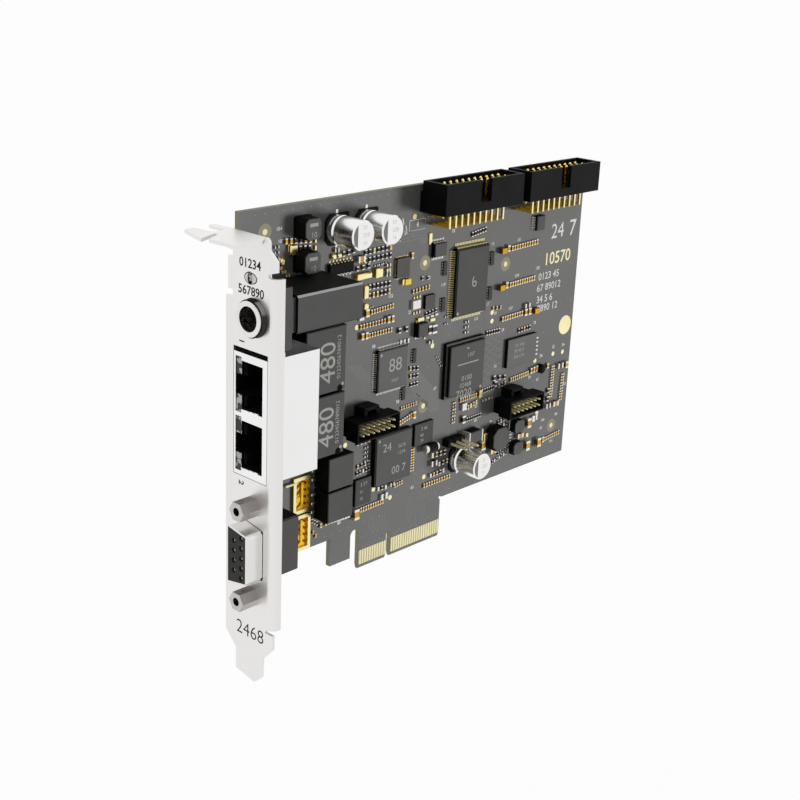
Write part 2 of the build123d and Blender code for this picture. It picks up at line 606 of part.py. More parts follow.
def box_header(side, left):
    """One right-angle box header: its shell opens upwards and its legs bend back to the board."""
    middle = left + HEADER_L / 2
    with BuildPart() as shell:
        with BuildSketch(level(HEADER_BOTTOM)):
            with Locations((middle, HEADER_Y)):
                Rectangle(HEADER_L, HEADER_W)
            for end in (-1, 1):
                with Locations((middle + end * (HEADER_L - HEADER_FOOT_W) / 2, (HEADER_BACK_Y + FACE_Y) / 2)):
                    Rectangle(HEADER_FOOT_W, FACE_Y - HEADER_BACK_Y)
        extrude(amount=HEADER_H - HEADER_RIM_H)
        with BuildSketch(level(HEADER_BOTTOM + HEADER_H - HEADER_RIM_H)):
            with Locations((middle, HEADER_Y)):
                Rectangle(HEADER_L, HEADER_W)
        extrude(amount=HEADER_RIM_H)
        with BuildSketch(level(HEADER_BOTTOM + HEADER_FLOOR)):
            with Locations((middle, HEADER_Y)):
                Rectangle(HEADER_L - 2 * HEADER_WALL, HEADER_W - 2 * HEADER_WALL)
            with Locations((middle, HEADER_Y - HEADER_W / 2)):
                Rectangle(HEADER_KEY_W, 2 * HEADER_WALL)
        extrude(amount=HEADER_H, mode=Mode.SUBTRACT)
        with BuildSketch(level(HEADER_BOTTOM)):
            with Locations((middle, HEADER_Y)):
                with GridLocations(PIN_PITCH, PIN_PITCH, PINS, 2):
                    Rectangle(PIN + 2 * PIN_FIT, PIN + 2 * PIN_FIT)
        extrude(amount=HEADER_FLOOR, mode=Mode.SUBTRACT)
    save(shell, f"box_header_{side}_shell")

    with BuildPart() as pins:
        for row in (0, 1):
            y = HEADER_Y + PIN_PITCH * (0.5 - row)
            leg_z = HEADER_BOTTOM - LEG_DROP - row * PIN_PITCH
            for i in range(PINS):
                x = middle + (i - (PINS - 1) / 2) * PIN_PITCH
                with BuildSketch(across(x - PIN / 2)):
                    with BuildLine():
                        Polyline(
                            (y - PIN / 2, PIN_TOP),
                            (y + PIN / 2, PIN_TOP),
                            (y + PIN / 2, leg_z + PIN / 2),
                            (FACE_Y, leg_z + PIN / 2),
                            (FACE_Y, leg_z - PIN / 2),
                            (y - PIN / 2, leg_z - PIN / 2),
                            close=True,
                        )
                    make_face()
                extrude(amount=PIN)
    save(pins, f"box_header_{side}_pins")


box_header("left", HEADER_LEFT)
box_header("right", HEADER_LEFT + HEADER_L + HEADER_GAP)


def small_header(side, x, z):
    """One small shrouded header that stands out from the board."""
    with BuildPart() as shell:
        with BuildSketch(face()):
            with Locations((x, z)):
                Rectangle(SMALL_L, SMALL_W)
        extrude(amount=SMALL_H)
        with BuildSketch(face(SMALL_FLOOR)):
            with Locations((x, z)):
                Rectangle(SMALL_L - 2 * SMALL_WALL, SMALL_W - 2 * SMALL_WALL)
            with Locations((x, z - SMALL_W / 2)):
                Rectangle(SMALL_KEY_W, 2 * SMALL_WALL)
        extrude(amount=SMALL_H, mode=Mode.SUBTRACT)
        with BuildSketch(face()):
            with Locations((x, z)):
                with GridLocations(1, SMALL_PITCH, 1, 2):
                    Rectangle((SMALL_PINS - 1) * SMALL_PITCH + SMALL_PIN + 2 * PIN_FIT, SMALL_PIN + 2 * PIN_FIT)
        extrude(amount=SMALL_FLOOR, mode=Mode.SUBTRACT)
    save(shell, f"small_header_{side}_shell")

    with BuildPart() as pins:
        with BuildSketch(face()):
            with Locations((x, z)):
                with GridLocations(SMALL_PITCH, SMALL_PITCH, SMALL_PINS, 2):
                    Rectangle(SMALL_PIN, SMALL_PIN)
        extrude(amount=SMALL_H - SMALL_PIN_SHORT)
    save(pins, f"small_header_{side}_pins")


small_header("left", -13.2, 46.1)
small_header("right", 52.4, 37.4)

# Pin header: a low base with bare pins
with BuildPart() as pin_header_base:
    with BuildSketch(face()):
        with Locations(PIN_HEADER_PLACE):
            Rectangle(PIN_HEADER_COLUMNS * PIN_PITCH, PIN_HEADER_ROWS * PIN_PITCH)
            with GridLocations(PIN_PITCH, PIN_PITCH, PIN_HEADER_COLUMNS, PIN_HEADER_ROWS):
                Rectangle(PIN + 2 * PIN_FIT, PIN + 2 * PIN_FIT, mode=Mode.SUBTRACT)
    extrude(amount=PIN_PITCH)
    chamfer(pin_header_base.faces().sort_by(Axis.Y)[0].outer_wire().edges(), PIN_HEADER_BEVEL)
save(pin_header_base, "pin_header_base")

with BuildPart() as pin_header_pins:
    with BuildSketch(face()):
        with Locations(PIN_HEADER_PLACE):
            with GridLocations(PIN_PITCH, PIN_PITCH, PIN_HEADER_COLUMNS, PIN_HEADER_ROWS):
                Rectangle(PIN, PIN)
    extrude(amount=PIN_HEADER_OUT)
save(pin_header_pins, "pin_header_pins")


# Can capacitors: aluminium cans on plastic bases, with a rolled groove near the foot
with BuildPart() as can_bases:
    with BuildSketch(face()):
        with Locations(CAN_PLACES):
            Rectangle(CAN_BASE, CAN_BASE)
    extrude(amount=CAN_BASE_H)
    for x, z in CAN_PLACES:
        upright = can_bases.edges().filter_by(Axis.Y).filter_by_position(Axis.Z, z - CAN_BASE, z + CAN_BASE)
        left = upright.filter_by_position(Axis.X, x - CAN_BASE / 2 - 0.1, x - CAN_BASE / 2 + 0.1)
        chamfer(left, CAN_BASE_CUT)
save(can_bases, "can_bases")

can_r = CAN_D / 2
groove_top = CAN_BASE_H + 0.9
with BuildPart() as can_capacitors:
    for x, z in CAN_PLACES:
        with BuildSketch(Plane(origin=(x, FACE_Y, z), x_dir=(1, 0, 0), z_dir=(0, 0, 1))):
            with BuildLine():
                Polyline(
                    (0, -CAN_BASE_H),
                    (can_r, -CAN_BASE_H),
                    (can_r, -groove_top),
                    (can_r - CAN_GROOVE, -groove_top - CAN_GROOVE),
                    (can_r, -groove_top - 2 * CAN_GROOVE),
                    (can_r, -CAN_H + CAN_BEVEL),
                    (can_r - CAN_BEVEL, -CAN_H),
                    (0, -CAN_H),
                    close=True,
                )
            make_face()
        revolve(axis=Axis((x, FACE_Y, z), (0, 1, 0)))
save(can_capacitors, "can_capacitors")


def blocks(name, places, height, bevel):
    """Moulded bodies on the board, each given by its middle and size in X and Z."""
    with BuildPart() as bodies:
        with BuildSketch(face()):
            for x, z, width, length in places:
                with Locations((x, z)):
                    Rectangle(width, length)
        extrude(amount=height)
        if bevel:
            chamfer(bodies.edges().group_by(Axis.Y)[0], bevel)
    save(bodies, name)


blocks("network_module_upper", [(-32.35, 68.1, 14.3, 17.8)], 5.8, 0.25)
blocks("network_module_lower", [(-32.35, 49.9, 14.3, 17.2)], 5.8, 0.25)
blocks("isolation_block_upper", [(-25.5, 35.25, 9.4, 9.3)], 5.6, 0.2)
blocks("isolation_block_lower", [(-25.5, 25.6, 9.4, 8.8)], 5.6, 0.2)
blocks("logic_chip", [(-1.0, 32.2, 15.0, 15.0)], 2.0, 0.4)
blocks("main_memory", [(55.7, 52.9, 14.0, 9.0)], 1.2, 0.15)
blocks("small_memories", [(12.4, 36.0, 8.0, 6.8), (-12.1, 24.4, 6.4, 8.0)], 1.0, 0.15)
blocks("converter_chip", [(29.15, 79.3, 14.0, 20.0)], 2.0, 0.4)
blocks("codec_chip", [(-2.2, 58.8, 12.0, 12.0)], 1.4, 0.3)
blocks("line_drivers", [(15.3, 90.3, 5.0, 3.9), (60.3, 92.3, 3.9, 4.4)], 1.5, 0.2)
blocks("leadless_chips", [(0.8, 87.2, 5.0, 5.5), (12.5, 75.6, 4.0, 4.0)], 0.9, 0)
blocks("power_regulator", [(9.0, 68.1, 4.0, 4.0)], 2.0, 0.2)
blocks("oscillator", [(6.9, 75.7, 3.2, 2.5)], 1.0, 0.1)
blocks("output_inductor", [(45.0, 27.0, 7.5, 7.3)], 4.0, 0.5)
blocks("core_inductors", [(55.8, 28.2, 4.8, 4.2), (55.9, 20.8, 4.8, 4.2)], 2.5, 0.3)
blocks("resistor_networks", [(x, z, 1.6, 4.0) for x in (18.5, 39.3) for z in (73.6, 84.2)], 0.6, 0)
blocks("bulk_capacitors", [(43.7, 86.0, 2.2, 1.6), (43.9, 74.7, 2.2, 1.6), (61.6, 64.6, 2.2, 1.6)], 1.6, 0)

# Processor: a carrier board with a raised lid
with BuildPart() as processor:
    with BuildSketch(face()):
        with Locations(PROCESSOR_PLACE):
            Rectangle(CARRIER, CARRIER)
    extrude(amount=CARRIER_H)
    with BuildSketch(face(CARRIER_H)):
        with Locations(PROCESSOR_PLACE):
            Rectangle(LID, LID)
    extrude(amount=LID_H)
    chamfer(processor.faces().sort_by(Axis.Y)[0].edges(), LID_BEVEL)
save(processor, "processor")

# Filter inductors by the bracket: a square foot with an eight-sided core on it
with BuildPart() as filter_inductors:
    with BuildSketch(face()):
        with Locations(INDUCTOR_PLACES):
            Rectangle(INDUCTOR_FOOT, INDUCTOR_FOOT)
    extrude(amount=INDUCTOR_FOOT_H)
    with BuildSketch(face(INDUCTOR_FOOT_H)):
        with Locations(INDUCTOR_PLACES):
            RegularPolygon(INDUCTOR_CORE / 2, 8, major_radius=False, rotation=22.5)
    extrude(amount=INDUCTOR_CORE_H)
save(filter_inductors, "filter_inductors")
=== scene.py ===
import math
import random

import bmesh
import bpy
from mathutils import Matrix, Vector


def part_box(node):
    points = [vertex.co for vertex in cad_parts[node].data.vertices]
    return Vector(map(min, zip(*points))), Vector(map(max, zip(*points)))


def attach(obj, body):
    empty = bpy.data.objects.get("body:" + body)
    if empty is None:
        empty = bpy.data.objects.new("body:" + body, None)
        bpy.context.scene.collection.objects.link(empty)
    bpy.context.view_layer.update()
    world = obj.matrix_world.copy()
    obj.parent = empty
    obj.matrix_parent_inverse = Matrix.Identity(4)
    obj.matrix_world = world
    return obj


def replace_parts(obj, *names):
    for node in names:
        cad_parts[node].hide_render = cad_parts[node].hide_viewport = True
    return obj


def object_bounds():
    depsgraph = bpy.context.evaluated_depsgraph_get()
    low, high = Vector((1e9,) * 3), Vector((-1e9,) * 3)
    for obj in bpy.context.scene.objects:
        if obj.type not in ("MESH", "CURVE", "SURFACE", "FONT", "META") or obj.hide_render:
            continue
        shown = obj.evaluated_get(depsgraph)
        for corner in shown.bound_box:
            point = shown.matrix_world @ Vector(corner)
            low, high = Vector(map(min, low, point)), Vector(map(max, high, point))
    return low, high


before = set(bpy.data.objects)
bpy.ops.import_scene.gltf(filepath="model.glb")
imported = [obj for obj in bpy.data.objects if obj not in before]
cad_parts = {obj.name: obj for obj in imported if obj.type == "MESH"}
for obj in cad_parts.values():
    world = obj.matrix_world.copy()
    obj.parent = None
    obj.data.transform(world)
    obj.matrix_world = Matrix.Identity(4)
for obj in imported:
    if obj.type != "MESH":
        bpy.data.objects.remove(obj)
cad_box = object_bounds()
rng = random.Random(21)

# Places and sizes in millimetres, as in the part. SHEET is the front of the bracket's sheet.
MM = 0.001
FACE, BACK = -0.8, 0.8
SHEET = -59.91
CANS = ((-24.5, 101.1), (-13.7, 101.1), (29.1, 23.9))
CAN_TOP = 10.2
BOX_HEADERS = (23.71, 60.01)
HEADER_PITCH = 2.54
SMALL_PITCH = 2.0
PORTS = (51.65, 67.25)
FRAMES = ((-35.3, 29.75), (-35.3, 18.55))
DSUB_Y, DSUB_Z, DSUB_PITCH = -9.65, 23.6, 2.77


# Finishes

def feed(tree, node, inputs):
    """Give each input named its value, or link it where the value is another node's output."""
    for name, value in inputs.items():
        if isinstance(value, bpy.types.NodeSocket):
            tree.links.new(value, node.inputs[name])
        else:
            node.inputs[name].default_value = value


def add(tree, kind, inputs):
    node = tree.nodes.new("ShaderNode" + kind)
    feed(tree, node, inputs)
    return node


def reckon(tree, operation, *values):
    node = add(tree, "Math", dict(enumerate(values)))
    node.operation = operation
    return node.outputs[0]


def object_place(tree):
    return tree.nodes.new("ShaderNodeTexCoord").outputs["Object"]


def new_material(name):
    mat = bpy.data.materials.new(name)
    mat.use_nodes = True
    return mat, mat.node_tree, mat.node_tree.nodes["Principled BSDF"]


def noise(tree, vector, scale, detail):
    return add(tree, "TexNoise", {"Vector": vector, "Scale": scale, "Detail": detail}).outputs["Fac"]


def ramp(tree, amount, *stops):
    """Colour that goes from one stop (place, colour) to the next as the amount grows."""
    node = add(tree, "ValToRGB", {"Fac": amount})
    for element, (place, colour) in zip(node.color_ramp.elements, stops):
        element.position = place
        element.color = (*colour, 1)
    return node.outputs["Color"]


def blend(tree, amount, start, end, low, high):
    """The colour low where the amount is under start, and high where it is over end."""
    mask = add(tree, "MapRange", {"Value": amount, "From Min": start, "From Max": end})
    node = tree.nodes.new("ShaderNodeMix")
    node.data_type = "RGBA"
    low, high = (c if isinstance(c, bpy.types.NodeSocket) else (*c, 1) for c in (low, high))
    feed(tree, node, {0: mask.outputs[0], 6: low, 7: high})
    return node.outputs[2]


def finish(name, colour, rough=0.5, metal=0.0, vary=0.08, grain=900.0, bump=0.1, depth=0.02, specular=0.2,
           stretch=(1, 1, 1), facing=None, reach=(0.3, 0.9), swing=0.08, edge=None, upper=None):
    """A node finish: colour and roughness wander a little, and a fine grain is raised on the surface.
    facing is the colour of faces that turn sideways from the board, blended in over the range reach: at the board's
    edges it is the substrate's own colour, and on the other finishes it is painted shade on the sides of the parts,
    on gold a painted reflection. edge is the colour of a painted highlight on the bevel along an upper front edge,
    and upper that of a painted dark reflection on faces that look up."""
    mat, tree, shader = new_material(name)
    scaled = add(tree, "Mapping", {"Vector": object_place(tree), "Scale": stretch}).outputs[0]
    wide = noise(tree, scaled, grain * 0.12, 3.0)
    fine = noise(tree, scaled, grain * 3.0, 2.0)
    result = ramp(tree, wide, (0.3, [max(0.0, c * (1 - vary)) for c in colour]),
                  (0.7, [min(1.0, c * (1 + vary)) for c in colour]))
    if facing or edge or upper:
        normal = tree.nodes.new("ShaderNodeNewGeometry").outputs["True Normal"]
        _, y, z = add(tree, "SeparateXYZ", {0: normal}).outputs
    # Painted shade: faces turned sideways from the board take the darker facing colour (on the board, its real
    # substrate colour).
    if facing:
        result = blend(tree, reckon(tree, "ABSOLUTE", y), *reach, facing, result)
    # Painted highlight on the bevel between a front face and an upper face.
    if edge:
        slope = reckon(tree, "MULTIPLY", reckon(tree, "MULTIPLY", y, z), -1.0)
        result = blend(tree, slope, 0.3, 0.4, result, edge)
    # Painted dark reflection on faces that look up.
    if upper:
        result = blend(tree, z, 0.3, 0.6, result, upper)
    swings = {"Value": wide, "To Min": max(0.02, rough - swing), "To Max": min(1.0, rough + swing)}
    soft = add(tree, "MapRange", swings)
    raised = add(tree, "Bump", {"Strength": bump, "Distance": depth * MM, "Height": fine})
    feed(tree, shader, {"Base Color": result, "Metallic": metal, "Specular IOR Level": specular,
                        "Roughness": soft.outputs[0], "Normal": raised.outputs[0]})
    return mat


SUBSTRATE = (0.43, 0.42, 0.31)
board_mask = finish("board_mask", (0.143, 0.143, 0.141), 0.62, vary=0.05, grain=260, bump=0.15, specular=0.1,
                    facing=SUBSTRATE, reach=(0.5, 0.6))
trace_mask = finish("trace_mask", (0.19, 0.188, 0.182), 0.5, vary=0.05, grain=300, specular=0.15)
print_white = finish("print_white", (0.60, 0.60, 0.58), 0.7, grain=1500, specular=0.1)
print_grey = finish("print_grey", (0.30, 0.30, 0.28), 0.7, vary=0.10, grain=1500, specular=0.1)
print_dark = finish("print_dark", (0.045, 0.045, 0.048), 0.6, vary=0.15, grain=1500, specular=0.1)
# Painted shade: the sides of the gold fingers and leads are a darker gold.
finger_gold = finish("finger_gold", (0.86, 0.79, 0.48), 0.34, 1.0, vary=0.05, grain=1600, bump=0.06,
                     facing=(0.70, 0.60, 0.30), reach=(0.4, 0.9))
# Painted light: pale cream on faces along the board's normal is a painted highlight, and deep yellow on the sides is
# a painted reflection of gold on gold.
gold = finish("gold", (0.96, 0.87, 0.50), 0.25, 1.0, vary=0.06, grain=1400, bump=0.08,
              facing=(0.93, 0.60, 0.05), reach=(0.4, 0.9))
# Painted shade: the pins' sides are a darker gold.
pin_gold = finish("pin_gold", (0.90, 0.86, 0.60), 0.34, 0.35, vary=0.06, grain=1400, bump=0.08, specular=0.5,
                  facing=(0.84, 0.77, 0.46))
bracket_steel = finish("bracket_steel", (0.835, 0.82, 0.803), 0.36, 1.0, vary=0.025, grain=700,
                       depth=0.008, stretch=(1, 1, 0.12))
shield_metal = finish("shield_metal", (0.905, 0.905, 0.90), 0.36, 1.0, vary=0.02, grain=600, bump=0.08, depth=0.008)
bright_metal = finish("bright_metal", (0.78, 0.77, 0.75), 0.22, 1.0, vary=0.04, bump=0.06, depth=0.006)
# Painted dark reflection on the jack screws' upper facets.
screw_metal = finish("screw_metal", (0.54, 0.52, 0.50), 0.3, 1.0, depth=0.01,
                     upper=(0.16, 0.14, 0.13))
# Painted shade: the sides of tinned parts are a darker, warmer copy of the tin.
tin = finish("tin", (0.88, 0.87, 0.83), 0.34, 1.0, vary=0.06, grain=1600, bump=0.2, depth=0.01,
             facing=(0.68, 0.62, 0.50))
can_metal = finish("can_metal", (0.885, 0.88, 0.87), 0.23, 1.0, vary=0.03, grain=700, bump=0.04, depth=0.004,
                   swing=0.04)
# Painted shade: the shells' sides are painted blacker than their fronts.
shell_black = finish("shell_black", (0.009, 0.009, 0.009), 0.5, vary=0.2, grain=1100, bump=0.15, specular=0.05,
                     facing=(0.004, 0.004, 0.004))
# Painted shade on the jack body's sides, and a painted highlight along its upper front bevel.
jack_black = finish("jack_black", (0.076, 0.076, 0.075), 0.5, vary=0.04, grain=1100, bump=0.12, specular=0.05,
                    facing=(0.009, 0.009, 0.008), edge=(0.42, 0.42, 0.42))
# Painted shade: the rear block's sides are painted nearly black.
rear_black = finish("rear_black", (0.074, 0.073, 0.071), 0.5, vary=0.04, grain=1100, bump=0.12, specular=0.05,
                    facing=(0.009, 0.009, 0.008))
# Very black plastic; the same black is used as painted shade in a gap and on the status light.
black_and_shade = finish("black_and_shade", (0.005, 0.005, 0.005), 0.6, vary=0.2, specular=0.02)
face_plastic = finish("face_plastic", (0.07, 0.07, 0.07), 0.5, grain=1100, bump=0.15, specular=0.1)
# Painted shade: the cores' sides are painted nearly black.
core_grey = finish("core_grey", (0.094, 0.094, 0.09), 0.7, grain=1600, bump=0.35, specular=0.03,
                   facing=(0.008, 0.008, 0.007))
white_cap = finish("white_cap", (0.74, 0.75, 0.72), 0.35, 0.6, vary=0.04, specular=0.3)
# Painted shade: the capacitors' sides are a dark brown copy of their golden brown.
ceramic = finish("ceramic", (0.50, 0.28, 0.02), 0.4, vary=0.18, grain=1500, bump=0.15, specular=0.3,
                 facing=(0.13, 0.055, 0.008))
resist = finish("resist", (0.035, 0.033, 0.03), 0.45, vary=0.15, grain=1500, bump=0.15)
# Painted shade: the yellow part's sides are a darker yellow.
yellow = finish("yellow", (0.72, 0.52, 0.06), 0.45, grain=1500,
                facing=(0.50, 0.33, 0.02))


def chip(name, grey, rough=0.55):
    """A moulded chip body: its top takes the light and has the chip's own grey, and its sides are nearly black, a
    painted shade.
    """
    return finish(name, (grey, grey, grey * 0.985), rough, vary=0.05, grain=1300, bump=0.2, depth=0.015,
                  specular=0.04, facing=(0.004, 0.004, 0.0035))


module_black = chip("module_black", 0.077)
block_black = chip("block_black", 0.079)
logic_black = chip("logic_black", 0.090)
processor_black = chip("processor_black", 0.087)
memory_black = chip("memory_black", 0.128, 0.5)
small_memory_black = chip("small_memory_black", 0.068)
converter_black = chip("converter_black", 0.077)
codec_black = chip("codec_black", 0.112)
driver_black = chip("driver_black", 0.086)
network_black = chip("network_black", 0.055)

window, tree, shader = new_material("window")
streaks = noise(tree, object_place(tree), 420.0, 2.0)
glint = add(tree, "MapRange", {"Value": streaks, "To Min": 0.08, "To Max": 0.3})
raised = add(tree, "Bump", {"Strength": 0.4, "Distance": 0.05 * MM, "Height": streaks})
feed(tree, shader, {"Base Color": ramp(tree, streaks, (0.50, (0.012, 0.012, 0.012)), (0.53, (0.92, 0.92, 0.90))),
                    "Transmission Weight": 0.1, "Specular IOR Level": 0.4, "Roughness": glint.outputs[0],
                    "Normal": raised.outputs[0]})

dress = (
    (board_mask, "circuit_board"), (finger_gold, "edge_contacts"), (bracket_steel, "bracket"),
    (jack_black, "phones_jack_body"), (window, "status_light network_jack_windows"),
    (bright_metal, "phones_jack_sleeve dsub_shell"), (shield_metal, "network_jack_shield"),
    (black_and_shade, "network_jack_housing"), (face_plastic, "dsub_insulator"), (rear_black, "dsub_rear_block"),
    (pin_gold, "phones_jack_contacts network_jack_contacts dsub_contacts small_header_left_pins"),
    (pin_gold, "small_header_right_pins pin_header_pins"), (screw_metal, "jack_screw_lower jack_screw_upper"),
    (gold, "ground_frames box_header_left_pins box_header_right_pins"),
    (shell_black, "box_header_left_shell box_header_right_shell small_header_left_shell small_header_right_shell"),
    (shell_black, "pin_header_base can_bases"), (can_metal, "can_capacitors"), (white_cap, "oscillator"),
    (module_black, "network_module_upper network_module_lower"), (logic_black, "logic_chip"),
    (block_black, "isolation_block_upper isolation_block_lower"), (memory_black, "main_memory"),
    (small_memory_black, "small_memories"), (converter_black, "converter_chip"), (codec_black, "codec_chip"),
    (driver_black, "line_drivers leadless_chips power_regulator"), (processor_black, "processor"),
    (core_grey, "output_inductor core_inductors filter_inductors"), (network_black, "resistor_networks"),
    (ceramic, "bulk_capacitors"),
)
for mat, names in dress:
    for node in names.split():
        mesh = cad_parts[node].data
        mesh.materials.clear()
        mesh.materials.append(mat)


# Shapes

class Solids:
    """Closed shapes gathered into one piece. Sizes are in millimetres."""

    def __init__(self, *mats):
        self.mats = list(mats)
        self.points, self.faces, self.kinds = [], [], []

    def stack(self, rings, kind=0, loop=False):
        """Sides between one ring of points and the next, and a cap at each end."""
        n, start = len(rings[0]), len(self.points)
        for ring in rings:
            self.points += [tuple(c * MM for c in p) for p in ring]
        count = len(rings)
        for k in range(count if loop else count - 1):
            a, b = start + k * n, start + ((k + 1) % count) * n
            for i in range(n):
                j = (i + 1) % n
                self.faces.append((a + i, a + j, b + j, b + i))
                self.kinds.append(kind)
        if not loop:
            self.faces.append(tuple(start + i for i in reversed(range(n))))
            self.faces.append(tuple(start + (count - 1) * n + i for i in range(n)))
            self.kinds += [kind, kind]

    def block(self, x, z, w, l, h, base=0.0, cut=0.06, bevel=0.05, kind=0, side=1):
        """A block that stands on the board, with its corners and its top edge eased."""
        rings = []
        for height, inset in ((base, 0), (base + h - bevel, 0), (base + h, bevel)):
            outline = rect(x, z, w - 2 * inset, l - 2 * inset, max(cut - inset * 0.4, 0.005))
            rings.append(on_board(outline, height, side))
        self.stack(rings, kind)

    def plate(self, outline, h, base=0.0, kind=0, side=1):
        self.stack([on_board(outline, base, side), on_board(outline, base + h, side)], kind)

    def ring(self, x, z, outer, inner, h):
        a, b = disc(x, z, outer, 32), disc(x, z, inner, 32)
        self.stack([on_board(outline, height) for outline, height in ((a, 0), (a, h), (b, h), (b, 0))], loop=True)

    def ribbon(self, line, width, h=0.02, kind=0, side=1, base=0.0):
        """A flat track that follows a line on the board."""
        rings = []
        for i, (x, z) in enumerate(line):
            before = line[max(i - 1, 0)]
            after = line[min(i + 1, len(line) - 1)]
            d1, d2 = unit(before, (x, z)), unit((x, z), after)
            if i == 0:
                d1 = d2
            if i == len(line) - 1:
                d2 = d1
            n1, n2 = (-d1[1], d1[0]), (-d2[1], d2[0])
            sx, sz = n1[0] + n2[0], n1[1] + n2[1]
            k = width / max(sx * n1[0] + sz * n1[1], 0.4)
            ox, oz = sx * k * 0.5, sz * k * 0.5
            low, high = level(base, side), level(base + h, side)
            near, far = (x - ox, z - oz), (x + ox, z + oz)
            rings.append([(px, y, pz) for (px, pz), y in ((near, low), (near, high), (far, high), (far, low))])
        self.stack(rings, kind)

    def lead(self, x, z, dx, dz, width, top, out, kind=0, thick=0.14):
        """A gull-wing lead that leaves the body at (x, z) in the direction (dx, dz)."""
        px, pz = -dz, dx
        rings = []
        for run, height in ((-0.1, top), (out * 0.28, top), (out * 0.5, 0.08), (out, 0.08)):
            cx, cz = x + dx * run, z + dz * run
            ring = []
            for s, t in ((-1, 0), (1, 0), (1, 1), (-1, 1)):
                ring.append((cx + px * s * width / 2, level(height + (t - 0.5) * thick), cz + pz * s * width / 2))
            rings.append(ring)
        self.stack(rings, kind)

    def chip_part(self, x, z, length, width, height, along="x", body=0, end=1, side=1, ease=0.05):
        """A small part with a tinned cap at each end."""
        cap = length * 0.24
        core = length - 1.6 * cap
        w, l = (core, width * 0.94) if along == "x" else (width * 0.94, core)
        self.block(x, z, w, l, height * 0.95, cut=0.02, bevel=0.03, kind=body, side=side)
        for s in (-1, 1):
            shift = s * (length - cap) / 2
            dx, dz, w, l = (shift, 0, cap, width) if along == "x" else (0, shift, width, cap)
            self.block(x + dx, z + dz, w, l, height, cut=ease, bevel=ease, kind=end, side=side)

    def tube(self, ends, radii, axis="x", sides=20, kind=0):
        """A turned shape about a line: radii at places along the axis. ends = (a, b, [places])."""
        a, b, places = ends
        rings = []
        for place, r in zip(places, radii):
            ring = []
            for i in range(sides):
                t = 2 * math.pi * i / sides
                c, s = r * math.cos(t), r * math.sin(t)
                ring.append((place, a + c, b + s) if axis == "x" else (a + c, place, b + s))
            rings.append(ring)
        self.stack(rings, kind)

    def make(self, name, slot, smooth=None):
        mesh = bpy.data.meshes.new(name)
        mesh.from_pydata(self.points, [], self.faces)
        for mat in self.mats:
            mesh.materials.append(mat)
        for poly, kind in zip(mesh.polygons, self.kinds):
            poly.material_index = kind
        work = bmesh.new()
        work.from_mesh(mesh)
        bmesh.ops.recalc_face_normals(work, faces=work.faces[:])
        work.to_mesh(mesh)
        work.free()
        if smooth:
            for poly in mesh.polygons:
                poly.use_smooth = True
            mesh.set_sharp_from_angle(angle=math.radians(smooth))
        return placed(name, mesh)


def new_object(name, data):
    obj = bpy.data.objects.new(name, data)
    bpy.context.scene.collection.objects.link(obj)
    return obj


def placed(name, mesh):
    """An object of this mesh that rides on the card."""
    obj = new_object(name, mesh)
    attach(obj, "root")
    return obj


def level(height, side=1):
    return FACE - height if side > 0 else BACK + height


def on_board(outline, height, side=1):
    return [(x, level(height, side), z) for x, z in outline]


def rect(x, z, w, l, cut=0.0):
    a, b = w / 2, l / 2
    if cut <= 0:
        return [(x - a, z - b), (x + a, z - b), (x + a, z + b), (x - a, z + b)]
    return [(x - a + cut, z - b), (x + a - cut, z - b), (x + a, z - b + cut), (x + a, z + b - cut),
            (x + a - cut, z + b), (x - a + cut, z + b), (x - a, z + b - cut), (x - a, z - b + cut)]


def disc(x, z, r, sides=24):
    turns = [2 * math.pi * i / sides for i in range(sides)]
    return [(x + r * math.cos(t), z + r * math.sin(t)) for t in turns]


def unit(a, b):
    d = math.hypot(b[0] - a[0], b[1] - a[1]) or 1.0
    return ((b[0] - a[0]) / d, (b[1] - a[1]) / d)


def spread(a, b, n):
    """n places from a to b."""
    return [(a[0] + (b[0] - a[0]) * i / (n - 1), a[1] + (b[1] - a[1]) * i / (n - 1)) for i in range(n)]


def box(solids, x0, x1, y0, y1, z0, z1, ease=0.05, kind=0):
    """A block between two corners, its long edges eased."""
    ring = rect((y0 + y1) / 2, (z0 + z1) / 2, y1 - y0, z1 - z0, ease)
    solids.stack([[(x, y, z) for y, z in ring] for x in (x0, x1)], kind)


def outlines(solids, rows):
    """Rings one above the other: each row is an outline on the board and its height."""
    solids.stack([on_board(outline, height) for outline, height in rows])


def round_pin(solids, x, z, low, high, r):
    places = [level(low), level(high - 0.55), level(high - 0.15), level(high)]
    solids.tube((x, z, places), [r, r, r * 0.62, r * 0.25], axis="y", sides=12)


def lead_row(solids, x, z, dx, dz, n, pitch, *size, **look):
    """n leads in the direction (dx, dz), on a line centred on (x, z)."""
    for i in range(n):
        shift = (i - (n - 1) / 2) * pitch
        solids.lead(x + shift * abs(dz), z + shift * abs(dx), dx, dz, *size, **look)


def network_ends(solids, x, z, out):
    """Five tinned ends on each side of a resistor network."""
    for i in range(5):
        for s in (-1, 1):
            solids.block(x + s * out, z + (i - 2) * 0.8, 0.3, 0.42, 0.3, cut=0.03, bevel=0.04, kind=1)


FONT_SCALE = 1.38


